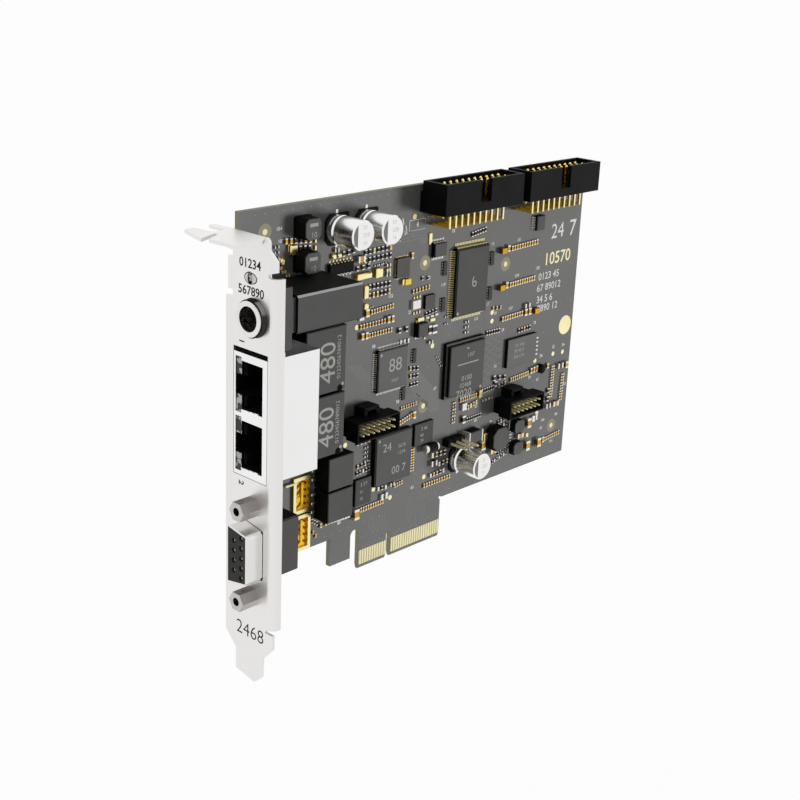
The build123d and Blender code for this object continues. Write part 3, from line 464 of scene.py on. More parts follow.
def numbers(name, rows, mat, thick=0.02, bold=0.0, plane="board"):
    """Plain numbers on the board or on the bracket's sheet. Each row: text, place (x, y, z), height and, where
    it isn't upright, its turn in degrees."""
    gathered = bmesh.new()
    for text, place, size, *turn in rows:
        curve = bpy.data.curves.new("row", "FONT")
        curve.body = text
        curve.size = size * FONT_SCALE * MM
        curve.align_x, curve.align_y = "CENTER", "CENTER"
        curve.extrude = thick * MM / 2
        curve.offset = bold * MM
        curve.resolution_u = 3
        temp = bpy.data.objects.new("row", curve)
        mesh = bpy.data.meshes.new_from_object(temp)
        along, out = ((1, 0, 0), (0, -1, 0)) if plane == "board" else ((0, -1, 0), (-1, 0, 0))
        flat = Matrix((along, (0, 0, 1), out)).transposed().to_4x4()
        turned = flat @ Matrix.Rotation(math.radians(sum(turn)), 4, "Z")
        shift = Vector(place) * MM + Vector(out) * thick * MM / 2
        mesh.transform(Matrix.Translation(shift) @ turned)
        gathered.from_mesh(mesh)
        bpy.data.objects.remove(temp)
        bpy.data.meshes.remove(mesh)
        bpy.data.curves.remove(curve)
    bmesh.ops.remove_doubles(gathered, verts=gathered.verts[:], dist=1e-7)
    mesh = bpy.data.meshes.new(name)
    gathered.to_mesh(mesh)
    gathered.free()
    mesh.materials.append(mat)
    for poly in mesh.polygons:
        poly.use_smooth = False
    return placed(name, mesh)


# Board surface: tracks, vias, targets, pads and print

tracks = Solids(trace_mask)
# How many and how wide, then each point as x, z and its step from one track to the next
BUNDLES = (
    (15, 0.18, (5.0, 52.5, 0.28, 0.28), (16.0, 41.5, 0.16, 0.4), (19.4, 41.5, 0, 0.4)),
    (5, 0.18, (-18.5, 62.5, 0.9, 0), (-13.0, 56.8, 0.9, 0), (-13.0, 52.4, 0.9, 0)),
    (6, 0.18, (6.2, 98.4, 0.9, 0), (6.2, 94.8, 0.9, 0), (9.0, 92.6, 0.9, 0)),
    (4, 0.16, (-4.0, 96.6, 0, -0.9), (3.5, 96.9, 0, -0.9), (9.8, 97.0, 0, -0.9)),
    (6, 0.15, (36.5, 71.2, 0.8, 0), (38.6, 68.8, 0.5, 0), (38.6, 65.8, 0.5, 0)),
    (8, 0.15, (2.0, 49.0, 1.0, 0), (3.8, 47.3, 1.0, 0), (3.8, 44.0, 1.0, 0)),
)
for n, width, *line in BUNDLES:
    for i in range(n):
        tracks.ribbon([(x + i * dx, z + i * dz) for x, z, dx, dz in line], width)
for i in range(16):
    x = 20.6 + i * 1.05
    tracks.ribbon([(x, 68.0), (x, 64.6 - (i % 3) * 0.3), (x + 0.5, 64.0 - (i % 3) * 0.3), (x + 0.5, 61.8)], 0.18)
for i in range(13):
    z = 60.2 - i * 1.15
    s = 0.45 * (-1) ** i
    tracks.ribbon([(37.6, z), (39.6, z + s), (41.6, z - s), (43.6, z + s), (45.4, z - s), (48.4, z)], 0.16)
for i in range(12):
    x = 9.5 + i * 0.75
    tracks.ribbon([(x, 24.5), (x, 17.6 - i * 0.1), (x - 2.5, 14.9 - i * 0.1), (x - 2.5, 10.2 - (i % 4) * 0.9)], 0.17)
for i in range(7):
    x = -8.5 + i * 1.1
    tracks.ribbon([(x, 15.2), (x, 12.5), (x + 2.2, 10.0), (x + 2.2, 7.2 + (i % 2) * 0.7)], 0.17)
for i in range(9):
    x = 18.0 + i * 1.1
    tracks.ribbon([(x, 17.5), (x, 14.6), (x - 2.0, 12.4 if i < 5 else 13.6)], 0.15)
tracks.make("board_tracks", "board_mask")

vias = Solids(print_grey)
places = [(-52 + i * 3.1, 108.0) for i in range(19)]
places += [(-26.0 + i * 3.1, 14.3) for i in range(8)] + [(x, 9.8) for x in (-11.2, -9.0, -6.8, -4.6)]
places += [(-10.4 + i * 0.98, 6.5 + 0.45 * (i % 2)) for i in range(9)]
places += [(2.6 + i * 1.05, 6.6 + 0.5 * (i % 3)) for i in range(18)]
places += [(-54.5, 14.5 + i * 7.4) for i in range(13)] + [(80.4, 18 + i * 9.3) for i in range(10)]
places += [(20 + i * 6.1, 14.6) for i in range(10)]
for i in range(70):
    x, z = rng.uniform(-20, 79), rng.uniform(15, 99)
    places.append((round(x, 2), round(z, 2)))

# No hole where a part taller than TALL stands. The nodes of SPREAD are low, or their parts lie far apart.
TALL = 0.9
SPREAD = ("can_bases", "can_capacitors", "resistor_networks", "bulk_capacitors", "line_drivers", "leadless_chips",
          "small_memories", "ground_frames", "circuit_board", "edge_contacts", "bracket")
solid_places = []
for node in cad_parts:
    lo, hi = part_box(node)
    if node not in SPREAD and hi.y > (FACE - TALL) * MM:
        solid_places.append((lo.x / MM, hi.x / MM, lo.z / MM, hi.z / MM))
for x, z in places:
    if all(not (a - 0.5 < x < b + 0.5 and c - 0.5 < z < d + 0.5) for a, b, c, d in solid_places):
        vias.plate(disc(x, z, 0.16, 8), 0.03)
vias.make("board_vias", "gold_plate")

targets = Solids(finish("target_ring", (0.235, 0.225, 0.16), 0.6, vary=0.06), finger_gold)
for x, z in ((-48.9, 103.4), (10.4, 87.0), (46.2, 81.4), (12.5, 44.2), (75.4, 23.3)):
    targets.ring(x, z, 2.15, 0.85, 0.02)
    targets.plate(disc(x, z, 0.8, 28), 0.04, kind=1)
targets.make("fiducials", "gold_plate")

pads = Solids(gold)
pads.plate(disc(78.4, 56.8, 3.1, 40), 0.05)
PAD_PLACES = (
    (64.1, 47.6), (73.3, 48.1), (78.3, 47.8), (0.0, 18.9), (-15.8, 73.0), (14.3, 21.5), (-7.0, 23.4), (-18.9, 39.8),
    (43.9, 31.6), (67.2, 29.6), (41.3, 67.3), (41.5, 64.6), (15.2, 61.9), (5.3, 100.7),
)
for x, z in PAD_PLACES:
    pads.plate(disc(x, z, 0.75, 20), 0.06)
for x, z, w, l in ((12.0, 93.7, 1.2, 3.4), (14.6, 69.8, 2.0, 1.0), (11.5, 64.9, 0.8, 0.6), (62.6, 23.0, 1.2, 1.4),
                   (-40.0, 97.8, 2.6, 3.0), (-43.6, 95.2, 1.6, 1.9)):
    pads.block(x, z, w, l, 0.45, cut=0.2, bevel=0.15)
pads.make("test_pads", "gold_plate", smooth=35)

lines = Solids(print_white)
corners = rect(6.6, 98.3, 6.4, 2.9)
for a, b in zip(corners, corners[1:] + corners[:1]):
    lines.ribbon([a, b], 0.14, 0.012)
for x, z in ((0.6, 99.9), (1.9, 97.8)):
    lines.ribbon([(x, z + 0.9), (x + 0.5, z - 0.9)], 0.3, 0.015)
lines.make("print_lines", "board_mask")

WORDS = (
    ("0123 45", 68.0, 74.7, 2.3), ("67 89012", 68.4, 71.1, 2.3), ("34 5 6", 66.6, 67.4, 2.3),
    ("7890 12", 68.4, 64.4, 2.3), ("24", 70.8, 88.2, 4.7), ("7", 78.4, 88.2, 5.2), ("4", 6.6, 98.3, 1.7),
    ("12", 73.2, 50.4, 1.1), ("34", 78.4, 50.1, 1.1), ("56", 67.2, 48.6, 1.1),
)
marks = [(text, (x, FACE, z), size) for text, x, z, size in WORDS]
LABELS = (
    (34.6, 96.2), (39.6, 88.4), (39.0, 70.2), (42.9, 66.8), (5.0, 73.6), (2.0, 96.6), (47.0, 60.8), (21.8, 94.6),
    (62.6, 60.3), (-9.0, 66.3), (-8.6, 54.0), (9.3, 54.6), (17.3, 48.4), (1.6, 47.9), (24.0, 45.0), (44.5, 49.8),
    (62.0, 42.5), (66.2, 41.0), (36.6, 38.6), (36.6, 34.0), (10.0, 34.6), (-16.6, 34.0), (-17.4, 29.6), (-20.4, 16.8),
    (9.4, 19.4), (26.6, 21.8), (42.6, 18.2), (57.6, 17.6), (70.0, 23.6), (77.6, 26.6), (76.0, 17.6), (-44.2, 103.6),
    (-43.6, 100.4), (-31.0, 94.0), (-22.0, 97.0), (-17.0, 95.4), (18.6, 79.4), (12.0, 82.4), (34.0, 66.6),
    (62.0, 77.8), (52.0, 88.0), (52.0, 77.0), (50.0, 67.0), (70.0, 33.0), (80.6, 36.4), (70.6, 26.2), (-4.0, 44.0),
    (-3.0, 79.6),
)
for k, (x, z) in enumerate(LABELS):
    marks.append((str(11 + k * 3), (x, FACE, z), 0.95))
numbers("print_numbers", marks, print_white, 0.015, 0.02)
numbers("gold_numbers", [("10570", (71.6, FACE, 79.8), 3.9)], gold, 0.05, 0.05)

MODULE, BIG, TWO, ONE, CODEC, RAM = (FACE - h for h in (5.8, 2.3, 2.0, 1.0, 1.4, 1.2))
numbers("module_numbers", [
    ("480", (-31.6, MODULE, 67.6), 5.6, 90), ("480", (-31.6, MODULE, 49.7), 5.6, 90),
    ("0123456789012", (-27.8, MODULE, 68.6), 1.35, 90), ("0123456789012", (-27.8, MODULE, 50.4), 1.35, 90),
], print_grey)
numbers("chip_numbers", [
    ("0100", (28.6, BIG, 50.0), 1.7), ("02468", (28.2, BIG, 47.9), 1.5),
    ("7020", (27.6, BIG, 45.2), 2.6), ("1357", (30.0, BIG, 57.0), 1.2),
    ("00 7", (1.0, TWO, 28.2), 2.4), ("24", (-4.0, TWO, 35.8), 2.6),
    ("1234", (2.0, TWO, 33.2), 1.1), ("5678", (2.0, TWO, 35.2), 1.1),
    ("88", (-1.4, CODEC, 59.8), 4.0), ("0369", (-1.4, CODEC, 55.4), 1.0),
    ("123 456", (54.2, RAM, 55.0), 1.1), ("78 9012", (54.2, RAM, 53.2), 1.1),
    ("345 678", (54.2, RAM, 51.4), 1.1),
    ("2 46", (12.4, ONE, 37.6), 1.1), ("80", (11.6, ONE, 35.6), 1.0), ("24", (11.6, ONE, 34.0), 1.0),
    ("3 57", (-12.0, ONE, 26.6), 1.1), ("91", (-12.8, ONE, 24.4), 1.0), ("35", (-12.8, ONE, 22.4), 1.0),
    ("6", (29.8, TWO, 78.8), 3.4, 20),
    ("10", (-36.4, FACE - 4.4, 101.8), 1.5), ("10", (-36.4, FACE - 4.4, 93.1), 1.5),
], print_grey)
bars = Solids(print_grey)
for z in (104.4, 95.7):
    bars.block(-36.4, z, 2.8, 0.9, 0.02, base=4.4, cut=0.02, bevel=0.005)
bars.plate(rect(29.0, 54.6, 9.4, 0.35), 0.02, base=2.3)
bars.plate(rect(28.6, 59.2, 0.9, 0.5), 0.02, base=2.3)
DOTS = (
    (-26.3, 60.9, 5.8), (-26.4, 43.0, 5.8), (23.3, 70.4, 2.0), (35.2, 46.0, 2.3), (-7.2, 38.4, 2.0),
    (-7.2, 63.6, 1.4),
)
for x, z, h in DOTS:
    bars.plate(disc(x, z, 0.45, 16), 0.02, base=h)
bars.make("chip_marks", "chip_plastic")

dimples = Solids(black_and_shade)
for x, z in ((-27.3, 59.9), (-27.4, 42.0)):
    dimples.plate(disc(x, z, 0.95), 0.02, base=5.8)
dimples.make("module_dots", "module_plastic")

# Small parts
BROWN, DARK, TIN, GOLD, WHITE, YELLOW, GREY = range(7)
KINDS = (ceramic, resist, tin, gold, white_cap, yellow, driver_black)


def rows_of(name, table):
    """Rows of small parts: from, to, how many, length, width, height, along, body. A single part has one place."""
    group = Solids(*KINDS)
    for *ends, length, width, height, along, body in table:
        for k, (x, z) in enumerate(spread(*ends) if len(ends) == 3 else ends):
            kind = body[k % len(body)] if isinstance(body, tuple) else body
            group.chip_part(x, z, length, width, height, along, kind, GOLD if kind == GOLD else TIN)
    group.make(name, "ceramic")


rows_of("capacitor_rows_right", [
    ((48.4, 86.0), (60.2, 86.4), 11, 1.6, 0.75, 0.7, "z", BROWN), ((46.4, 86.3), 2.0, 1.1, 1.0, "z", BROWN),
    ((48.6, 74.8), (60.0, 75.1), 11, 1.6, 0.75, 0.7, "z", BROWN), ((46.6, 75.0), 2.0, 1.1, 1.0, "z", BROWN),
    ((46.0, 64.5), (55.2, 64.8), 9, 1.6, 0.75, 0.7, "z", BROWN),
    ((56.7, 64.9), (58.6, 64.9), 2, 2.2, 1.2, 1.1, "z", BROWN), ((57.4, 66.9), 2.4, 1.4, 1.0, "x", DARK),
])
rows_of("capacitor_rows_left", [
    ((-10.6, 76.5), (-2.4, 76.9), 9, 1.4, 0.6, 0.6, "z", BROWN), ((-12.6, 76.6), 2.2, 1.3, 1.0, "z", BROWN),
    ((-14.6, 73.0), (-5.4, 73.1), 9, 1.4, 0.6, 0.6, "z", BROWN),
    ((-4.2, 73.3), (-2.6, 73.3), 2, 2.0, 1.0, 1.0, "z", BROWN),
    ((-11.2, 70.0), (-2.7, 70.1), 9, 1.4, 0.6, 0.6, "z", BROWN),
    ((-14.2, 70.3), (-12.6, 70.3), 2, 2.0, 1.0, 1.0, "z", BROWN), ((-14.45, 75.2), 1.7, 0.9, 0.6, "x", WHITE),
])
rows_of("resistor_grid", [
    ((-13.6, 93.4), (-4.0, 93.6), 7, 1.5, 0.7, 0.5, "z", (DARK, DARK, YELLOW, DARK)),
    ((-13.6, 91.2), (-4.0, 91.4), 7, 1.5, 0.7, 0.5, "z", DARK),
    ((-16.6, 89.4), (-12.4, 89.6), 3, 1.4, 0.8, 0.6, "z", DARK),
    ((-9.4, 89.2), (-6.2, 89.4), 3, 1.3, 0.5, 0.4, "x", DARK),
    ((-11.6, 83.6), (-4.0, 83.5), 6, 1.6, 0.7, 0.5, "z", DARK),
    ((-11.6, 81.2), (-4.0, 81.3), 6, 1.6, 0.7, 0.5, "z", (DARK, BROWN, BROWN, DARK)),
    ((-4.9, 88.8), (-4.9, 86.0), 3, 1.5, 0.9, 0.8, "x", (DARK, BROWN, DARK)),
    ((-15.8, 92.0), 2.6, 1.8, 1.3, "x", BROWN), ((-21.9, 94.2), (-18.2, 94.6), 3, 1.5, 0.8, 0.6, "z", DARK),
    ((-24.6, 95.6), 1.5, 1.2, 0.8, "x", DARK), ((-12.2, 87.2), 1.6, 0.9, 0.8, "z", DARK),
])
rows_of("filter_parts", [
    ((-42.2, 100.3), (-34.0, 99.6), 6, 1.6, 0.8, 0.7, "z", (BROWN, BROWN, DARK, DARK)),
    ((-37.4, 97.8), (-34.2, 97.5), 3, 1.6, 0.8, 0.7, "z", DARK),
    ((-32.0, 101.0), (-32.0, 97.2), 3, 1.2, 0.6, 0.5, "z", GOLD),
    ((-45.2, 99.2), (-45.2, 96.4), 3, 1.5, 0.7, 0.5, "x", DARK),
    ((-44.2, 93.6), (-41.6, 91.4), 3, 1.5, 0.8, 0.6, "x", BROWN),
    ((-30.8, 92.6), (-30.8, 90.6), 2, 1.3, 0.6, 0.5, "x", DARK),
])
rows_of("small_parts_middle", [
    ((5.8, 79.5), (12.2, 79.9), 6, 1.3, 0.6, 0.5, "z", BROWN),
    ((11.6, 72.0), (15.6, 72.6), 4, 1.2, 0.6, 0.5, "z", DARK),
    ((12.2, 70.9), (16.0, 71.2), 3, 1.2, 0.6, 0.5, "x", WHITE), ((12.9, 67.3), 2.6, 1.2, 1.1, "z", DARK),
    ((15.0, 67.1), 2.6, 2.0, 1.0, "z", GREY), ((9.1, 70.9), 2.4, 1.2, 0.8, "x", GOLD),
    ((20.3, 69.8), (20.3, 67.6), 2, 1.2, 0.6, 0.5, "x", DARK),
    ((29.5, 66.6), (29.5, 63.4), 3, 1.5, 0.8, 0.6, "x", DARK),
    ((39.2, 61.3), (44.8, 61.2), 6, 1.5, 0.6, 0.5, "z", DARK),
    ((54.6, 59.3), (59.8, 59.5), 5, 1.5, 0.6, 0.5, "z", (DARK, DARK, BROWN)),
    ((64.2, 55.2), (64.2, 49.9), 5, 0.9, 0.5, 0.4, "x", WHITE),
    ((29.9, 92.6), (35.6, 93.4), 6, 1.5, 0.7, 0.5, "z", DARK), ((13.8, 63.4), 1.6, 1.0, 0.8, "x", DARK),
    ((0.6, 69.2), (3.4, 69.2), 2, 1.6, 0.9, 0.8, "z", DARK), ((1.5, 65.6), (4.6, 65.6), 3, 1.3, 0.6, 0.5, "z", WHITE),
    ((-4.6, 86.65), 1.4, 0.8, 0.6, "x", DARK), ((-3.4, 94.9), (-0.6, 95.2), 3, 1.1, 0.6, 0.5, "z", DARK),
    ((4.6, 90.0), 1.8, 0.9, 0.7, "z", BROWN), ((41.4, 68.6), (44.8, 68.4), 3, 1.1, 0.6, 0.5, "z", BROWN),
    ((6.3, 77.6), (8.7, 77.7), 3, 0.8, 0.45, 0.4, "z", GOLD),
    ((6.4, 73.1), (8.8, 73.2), 3, 0.8, 0.45, 0.4, "z", GOLD),
    ((9.3, 82.8), (11.6, 82.6), 2, 1.2, 0.6, 0.5, "z", DARK),
])
rows_of("small_parts_processor", [
    ((52.2, 43.9), (60.4, 44.4), 9, 1.5, 0.65, 0.6, "z", BROWN),
    ((61.8, 44.9), (64.6, 45.1), 3, 1.9, 0.9, 0.9, "z", BROWN), ((70.3, 44.8), 1.7, 0.9, 0.8, "z", BROWN),
    ((73.4, 44.0), (73.2, 33.8), 12, 1.5, 0.6, 0.6, "x", BROWN),
    ((79.0, 40.2), (78.6, 31.6), 10, 1.5, 0.6, 0.6, "x", BROWN), ((79.9, 43.4), 2.2, 1.6, 1.3, "z", BROWN),
    ((76.8, 43.6), 2.6, 1.8, 1.1, "x", GREY), ((75.6, 31.0), 2.8, 1.7, 1.3, "x", BROWN),
    ((71.9, 31.0), 2.2, 1.7, 1.1, "x", GREY), ((71.6, 36.2), (71.6, 33.4), 2, 1.6, 0.9, 0.8, "z", DARK),
    ((6.0, 57.0), (9.0, 56.6), 3, 1.3, 0.6, 0.5, "z", (BROWN, DARK, DARK)),
    ((6.2, 54.6), (9.0, 54.4), 3, 1.3, 0.6, 0.5, "z", (BROWN, DARK, DARK)),
    ((6.6, 52.0), (9.0, 52.0), 3, 1.3, 0.6, 0.5, "z", DARK),
    ((3.0, 45.7), (9.0, 45.9), 7, 1.1, 0.5, 0.45, "z", BROWN),
    ((2.6, 41.4), (7.2, 42.6), 6, 1.5, 0.65, 0.6, "z", BROWN), ((8.1, 42.6), 2.2, 1.1, 1.0, "z", BROWN),
    ((17.2, 58.2), (19.2, 55.2), 4, 0.9, 0.5, 0.4, "x", DARK),
    ((43.8, 46.2), (44.6, 44.2), 2, 1.8, 0.9, 0.8, "z", DARK),
    ((28.8, 42.4), (35.8, 42.5), 8, 1.4, 0.6, 0.5, "z", BROWN), ((37.4, 42.6), 2.4, 1.4, 1.0, "z", GOLD),
    ((38.8, 43.0), (44.0, 43.3), 6, 1.5, 0.6, 0.5, "z", DARK),
    ((26.0, 42.2), (25.9, 36.0), 7, 1.3, 0.6, 0.5, "x", (BROWN, DARK)), ((30.2, 40.1), 2.2, 2.0, 1.0, "z", WHITE),
    ((32.4, 39.4), (36.0, 40.2), 4, 1.4, 0.7, 0.6, "z", (BROWN, GOLD)), ((30.3, 36.0), 2.4, 1.4, 1.0, "z", GREY),
    ((32.3, 35.4), (38.3, 35.6), 7, 1.3, 0.55, 0.5, "z", DARK),
    ((39.6, 40.0), (42.8, 40.0), 3, 1.3, 0.7, 0.6, "x", DARK), ((-10.6, 77.9), 0.9, 0.5, 0.4, "x", DARK),
    ((46.4, 45.9), (48.8, 45.6), 2, 1.4, 0.8, 0.7, "z", DARK),
    ((46.6, 43.2), (49.4, 43.4), 3, 1.3, 0.55, 0.5, "z", (BROWN, DARK)),
])
rows_of("small_parts_power", [
    ((14.2, 18.8), (25.4, 18.9), 11, 1.4, 0.65, 0.6, "z", BROWN),
    ((8.4, 31.8), (8.4, 25.2), 9, 1.4, 0.5, 0.6, "x", BROWN),
    ((72.0, 19.5), (79.2, 20.1), 8, 1.4, 0.6, 0.6, "z", BROWN), ((70.65, 19.65), 1.9, 0.9, 0.9, "z", BROWN),
    ((67.8, 19.6), 3.0, 1.8, 1.6, "z", BROWN), ((62.2, 19.8), 3.2, 1.8, 1.5, "z", BROWN),
    ((58.2, 24.1), 2.8, 1.5, 1.3, "x", BROWN), ((61.9, 27.6), 3.2, 1.8, 1.6, "z", BROWN),
    ((64.75, 28.2), 2.0, 1.4, 0.9, "z", WHITE), ((66.4, 28.4), 1.8, 0.9, 0.8, "z", WHITE),
    ((54.1, 26.4), (53.9, 19.8), 7, 0.9, 0.4, 0.35, "x", WHITE), ((45.0, 22.3), 2.6, 1.6, 1.4, "x", BROWN),
    ((45.8, 18.2), (53.4, 19.8), 8, 1.1, 0.55, 0.45, "z", (DARK, WHITE)),
    ((48.4, 20.4), (53.0, 21.3), 5, 1.1, 0.55, 0.45, "z", DARK),
    ((47.4, 31.0), (50.0, 31.4), 3, 1.2, 0.6, 0.5, "z", (DARK, BROWN)),
    ((50.2, 29.6), (53.2, 29.8), 3, 1.1, 0.6, 0.5, "z", (WHITE, DARK)), ((39.4, 25.6), 3.0, 1.8, 1.8, "z", BROWN),
    ((17.0, 27.8), (22.4, 27.6), 4, 1.6, 0.9, 0.9, "z", (WHITE, BROWN, BROWN, DARK)),
    ((17.6, 25.2), 2.4, 1.8, 1.2, "x", GREY),
    ((20.4, 24.2), (23.8, 24.4), 3, 1.4, 0.7, 0.7, "z", (WHITE, DARK, BROWN)),
    ((16.8, 21.4), (22.4, 21.6), 5, 1.3, 0.7, 0.7, "z", (WHITE, BROWN, BROWN, DARK)),
    ((-12.2, 18.6), (-3.4, 18.8), 10, 1.5, 0.6, 0.6, "z", BROWN),
    ((-4.0, 20.3), (-2.2, 20.4), 2, 1.9, 0.9, 0.9, "z", WHITE), ((-14.8, 18.2), 3.2, 1.9, 1.6, "z", BROWN),
    ((-5.4, 23.2), (-2.4, 23.0), 3, 1.3, 0.7, 0.6, "z", (WHITE, DARK)),
    ((1.6, 22.3), (4.4, 22.6), 4, 1.3, 0.6, 0.5, "z", BROWN),
    ((-14.4, 39.2), (-9.8, 39.2), 4, 1.3, 0.6, 0.5, "z", (DARK, BROWN)),
    ((-10.8, 37.2), (-10.8, 33.2), 4, 1.2, 0.6, 0.5, "x", DARK),
    ((-14.0, 32.2), (-9.6, 32.5), 4, 1.2, 0.6, 0.5, "z", (BROWN, DARK)),
    ((-14.2, 30.2), (-9.4, 30.6), 5, 1.2, 0.55, 0.5, "z", (DARK, DARK, WHITE)),
    ((-27.9, 18.5), (-26.0, 18.6), 2, 1.4, 0.8, 0.7, "z", BROWN),
    ((-24.6, 18.3), (-17.0, 17.9), 8, 0.9, 0.8, 0.5, "x", WHITE),
    ((-31.2, 20.8), (-29.4, 19.6), 3, 1.3, 0.7, 0.6, "z", DARK),
    ((-30.6, 17.2), (-29.6, 15.9), 2, 1.1, 0.6, 0.5, "z", BROWN), ((-0.05, 23.25), 1.6, 1.2, 1.0, "x", DARK),
])

# Bright plated parts, and larger single ones
plated = Solids(gold, tin, white_cap, shell_black, driver_black)
GOLD_BLOCKS = (
    (-13.6, 82.6, 1.5, 3.6, 1.4), (-13.4, 78.6, 1.5, 1.6, 1.4), (-14.6, 87.2, 5.4, 1.6, 1.5),
    (-8.8, 87.2, 2.6, 2.6, 1.3), (-25.6, 94.0, 1.4, 1.4, 1.0), (-23.6, 94.0, 1.4, 1.2, 1.0),
    (-40.0, 97.8, 2.5, 2.8, 1.2), (-43.6, 95.2, 1.4, 1.7, 1.0),
)
for x, z, w, l, h in GOLD_BLOCKS:
    plated.block(x, z, w, l, h, cut=0.25, bevel=0.22)
plated.block(-23.0, 90.6, 8.6, 2.8, 1.2, cut=0.15, bevel=0.12, kind=3)
lead_row(plated, -22.85, 92.0, 0, 1, 7, 1.25, 0.4, 0.7, 0.9)
lead_row(plated, -22.85, 89.2, 0, -1, 7, 1.25, 0.4, 0.7, 0.9, kind=1)
plated.block(2.0, 83.0, 2.6, 1.6, 1.0, cut=0.2, bevel=0.15)
plated.block(33.8, 30.2, 5.4, 3.6, 3.0, cut=0.3, bevel=0.25, kind=4)
for s in (-1, 1):
    plated.block(33.8 + s * 2.9, 30.2, 0.5, 4.0, 3.2, cut=0.1, bevel=0.1, kind=2)
plated.block(40.0, 28.0, 1.8, 3.0, 2.0, cut=0.15, bevel=0.12)
plated.tube((level(1.4), 31.0, [13.3, 13.5, 17.2, 17.4]), [1.1, 1.35, 1.35, 1.1], kind=3)
plated.tube((level(1.4), 31.0, [12.5, 12.7, 13.5]), [1.1, 1.3, 1.3], kind=1)
plated.tube((level(1.4), 31.0, [17.2, 17.8, 18.0]), [1.3, 1.3, 1.1], kind=1)
plated.block(66.6, 44.7, 2.4, 2.8, 2.0, cut=0.7, bevel=0.5, kind=3)
plated.block(-21.9, 40.2, 1.5, 1.5, 1.0, cut=0.4, bevel=0.3, kind=3)
plated.make("plated_parts", "gold_plate", smooth=40)

# Chip leads
leads = Solids(finger_gold)
for s in (-1, 1):
    lead_row(leads, 29.15 + s * 7.0, 79.3, s, 0, 30, 0.65, 0.34, 1.0, 1.5)
    lead_row(leads, 29.15, 79.3 + s * 10.0, 0, s, 20, 0.65, 0.40, 1.0, 1.5)
leads.make("converter_leads", "gold_plate")

leads = Solids(tin)
for s in (-1, 1):
    lead_row(leads, -2.2 + s * 6.0, 58.8, s, 0, 20, 0.55, 0.24, 0.7, 1.1)
    lead_row(leads, -2.2, 58.8 + s * 6.0, 0, s, 20, 0.55, 0.24, 0.7, 1.1)
    lead_row(leads, 15.305, 90.3 + s * 1.9, 0, s, 8, 0.63, 0.36, 0.75, 1.1)
    lead_row(leads, 60.3 + s * 1.9, 92.35, s, 0, 8, 0.5, 0.26, 0.75, 1.1)
lead_row(leads, 9.0, 66.2, 0, -1, 5, 0.65, 0.4, 0.5, 0.9)
lead_row(leads, 9.0, 70.0, 0, 1, 5, 0.65, 0.4, 0.5, 0.7)
leads.make("chip_leads", "bright_metal")

edge_pads = Solids(gold, tin)
for i in range(9):
    edge_pads.block(-1.7, 85.0 + i * 0.55, 0.16, 0.3, 0.35, cut=0.02, bevel=0.03)
for i in range(8):
    for z in (90.2, 84.2):
        edge_pads.block(-1.2 + i * 0.58, z, 0.3, 0.5, 0.12, cut=0.03, bevel=0.03)
for x in (18.5, 39.3):
    for z in (73.6, 84.2):
        network_ends(edge_pads, x, z, 0.9)
for z in (35.8, 33.15, 28.75, 26.2, 23.65):
    edge_pads.block(-31.3, z, 1.4, 0.75, 0.5, base=0.5, cut=0.1, bevel=0.12, kind=1)
for z in (68.1, 49.9):
    lead_row(edge_pads, -25.2, z, 1, 0, 8, 1.9, 0.5, 0.6, 1.0, kind=1, thick=0.2)
edge_pads.make("edge_pads", "bright_metal")

# Spare network bodies like the ones in the part
extra = Solids(network_black, tin)
for x, z in ((7.3, 60.5), (3.4, 50.2)):
    extra.block(x, z, 1.4, 4.0, 0.6, cut=0.03)
    network_ends(extra, x, z, 0.8)
extra.make("resistor_arrays", "ceramic")

yellow_part = Solids(yellow)
yellow_part.block(2.6, 83.0, 2.4, 1.7, 1.3, cut=0.12, bevel=0.1)
yellow_part.make("yellow_part", "ceramic")

# Can tops
crescent = Solids(finish("can_mark", (0.17, 0.17, 0.17), 0.5, 0.3))
MARK_R, MARK_CHORD = 3.6, 2.1
turn = math.acos(MARK_CHORD / MARK_R)
turns = [-turn + 2 * turn * i / 18 for i in range(19)]
for x, z in CANS:
    outline = [(x - MARK_R * math.cos(t), z + MARK_R * math.sin(t)) for t in turns]
    crescent.plate(outline, 0.02, base=CAN_TOP)
crescent.make("can_crescents", "can_metal")

top = FACE - CAN_TOP
rows = [(text, (x + dx, top, z + dz), 1.1) for x, z in CANS
        for text, dx, dz in (("10", 0.3, 2.1), ("220", 0.9, 0.1), ("16", 0.5, -1.9))]
numbers("can_numbers", rows, finish("can_ink", (0.5, 0.5, 0.5), 0.6, vary=0.05), 0.015)

feet = Solids(tin)
for x, z in CANS:
    for s in (-1, 1):
        feet.block(x, z + s * 4.5, 0.8, 1.3, 0.2, cut=0.05)
feet.make("can_feet", "bright_metal")

# Bracket marks and shield details
numbers("bracket_numbers", [
    ("01234", (SHEET, -8.1, 98.4), 2.3), ("567890", (SHEET, -8.5, 91.7), 2.3),
    ("1", (SHEET, -5.1, 78.6), 1.9, -90), ("2", (SHEET, -5.1, 41.2), 1.9, -90),
], print_dark, 0.02, 0.045, "sheet")
numbers("bracket_foot_number", [("2468", (SHEET, -8.9, 0.2), 4.0)], print_dark, 0.02, -0.05, "sheet")

trim = Solids(shield_metal, black_and_shade)
for z in PORTS:
    for s in (-1, 1):
        box(trim, -59.3, -53.0, -6.7, -5.4, z + s * 4.1 - 1.45, z + s * 4.1 + 1.45, 0.15, 1)
    for i in range(3):
        box(trim, -59.95, -59.66, -8.0 - i * 1.75, -6.6 - i * 1.75, z - 6.5, z - 6.25 + 0.1 * i, 0.04)
box(trim, -57.0, -54.4, -14.95, -14.4, 75.62, 76.9, 0.08)
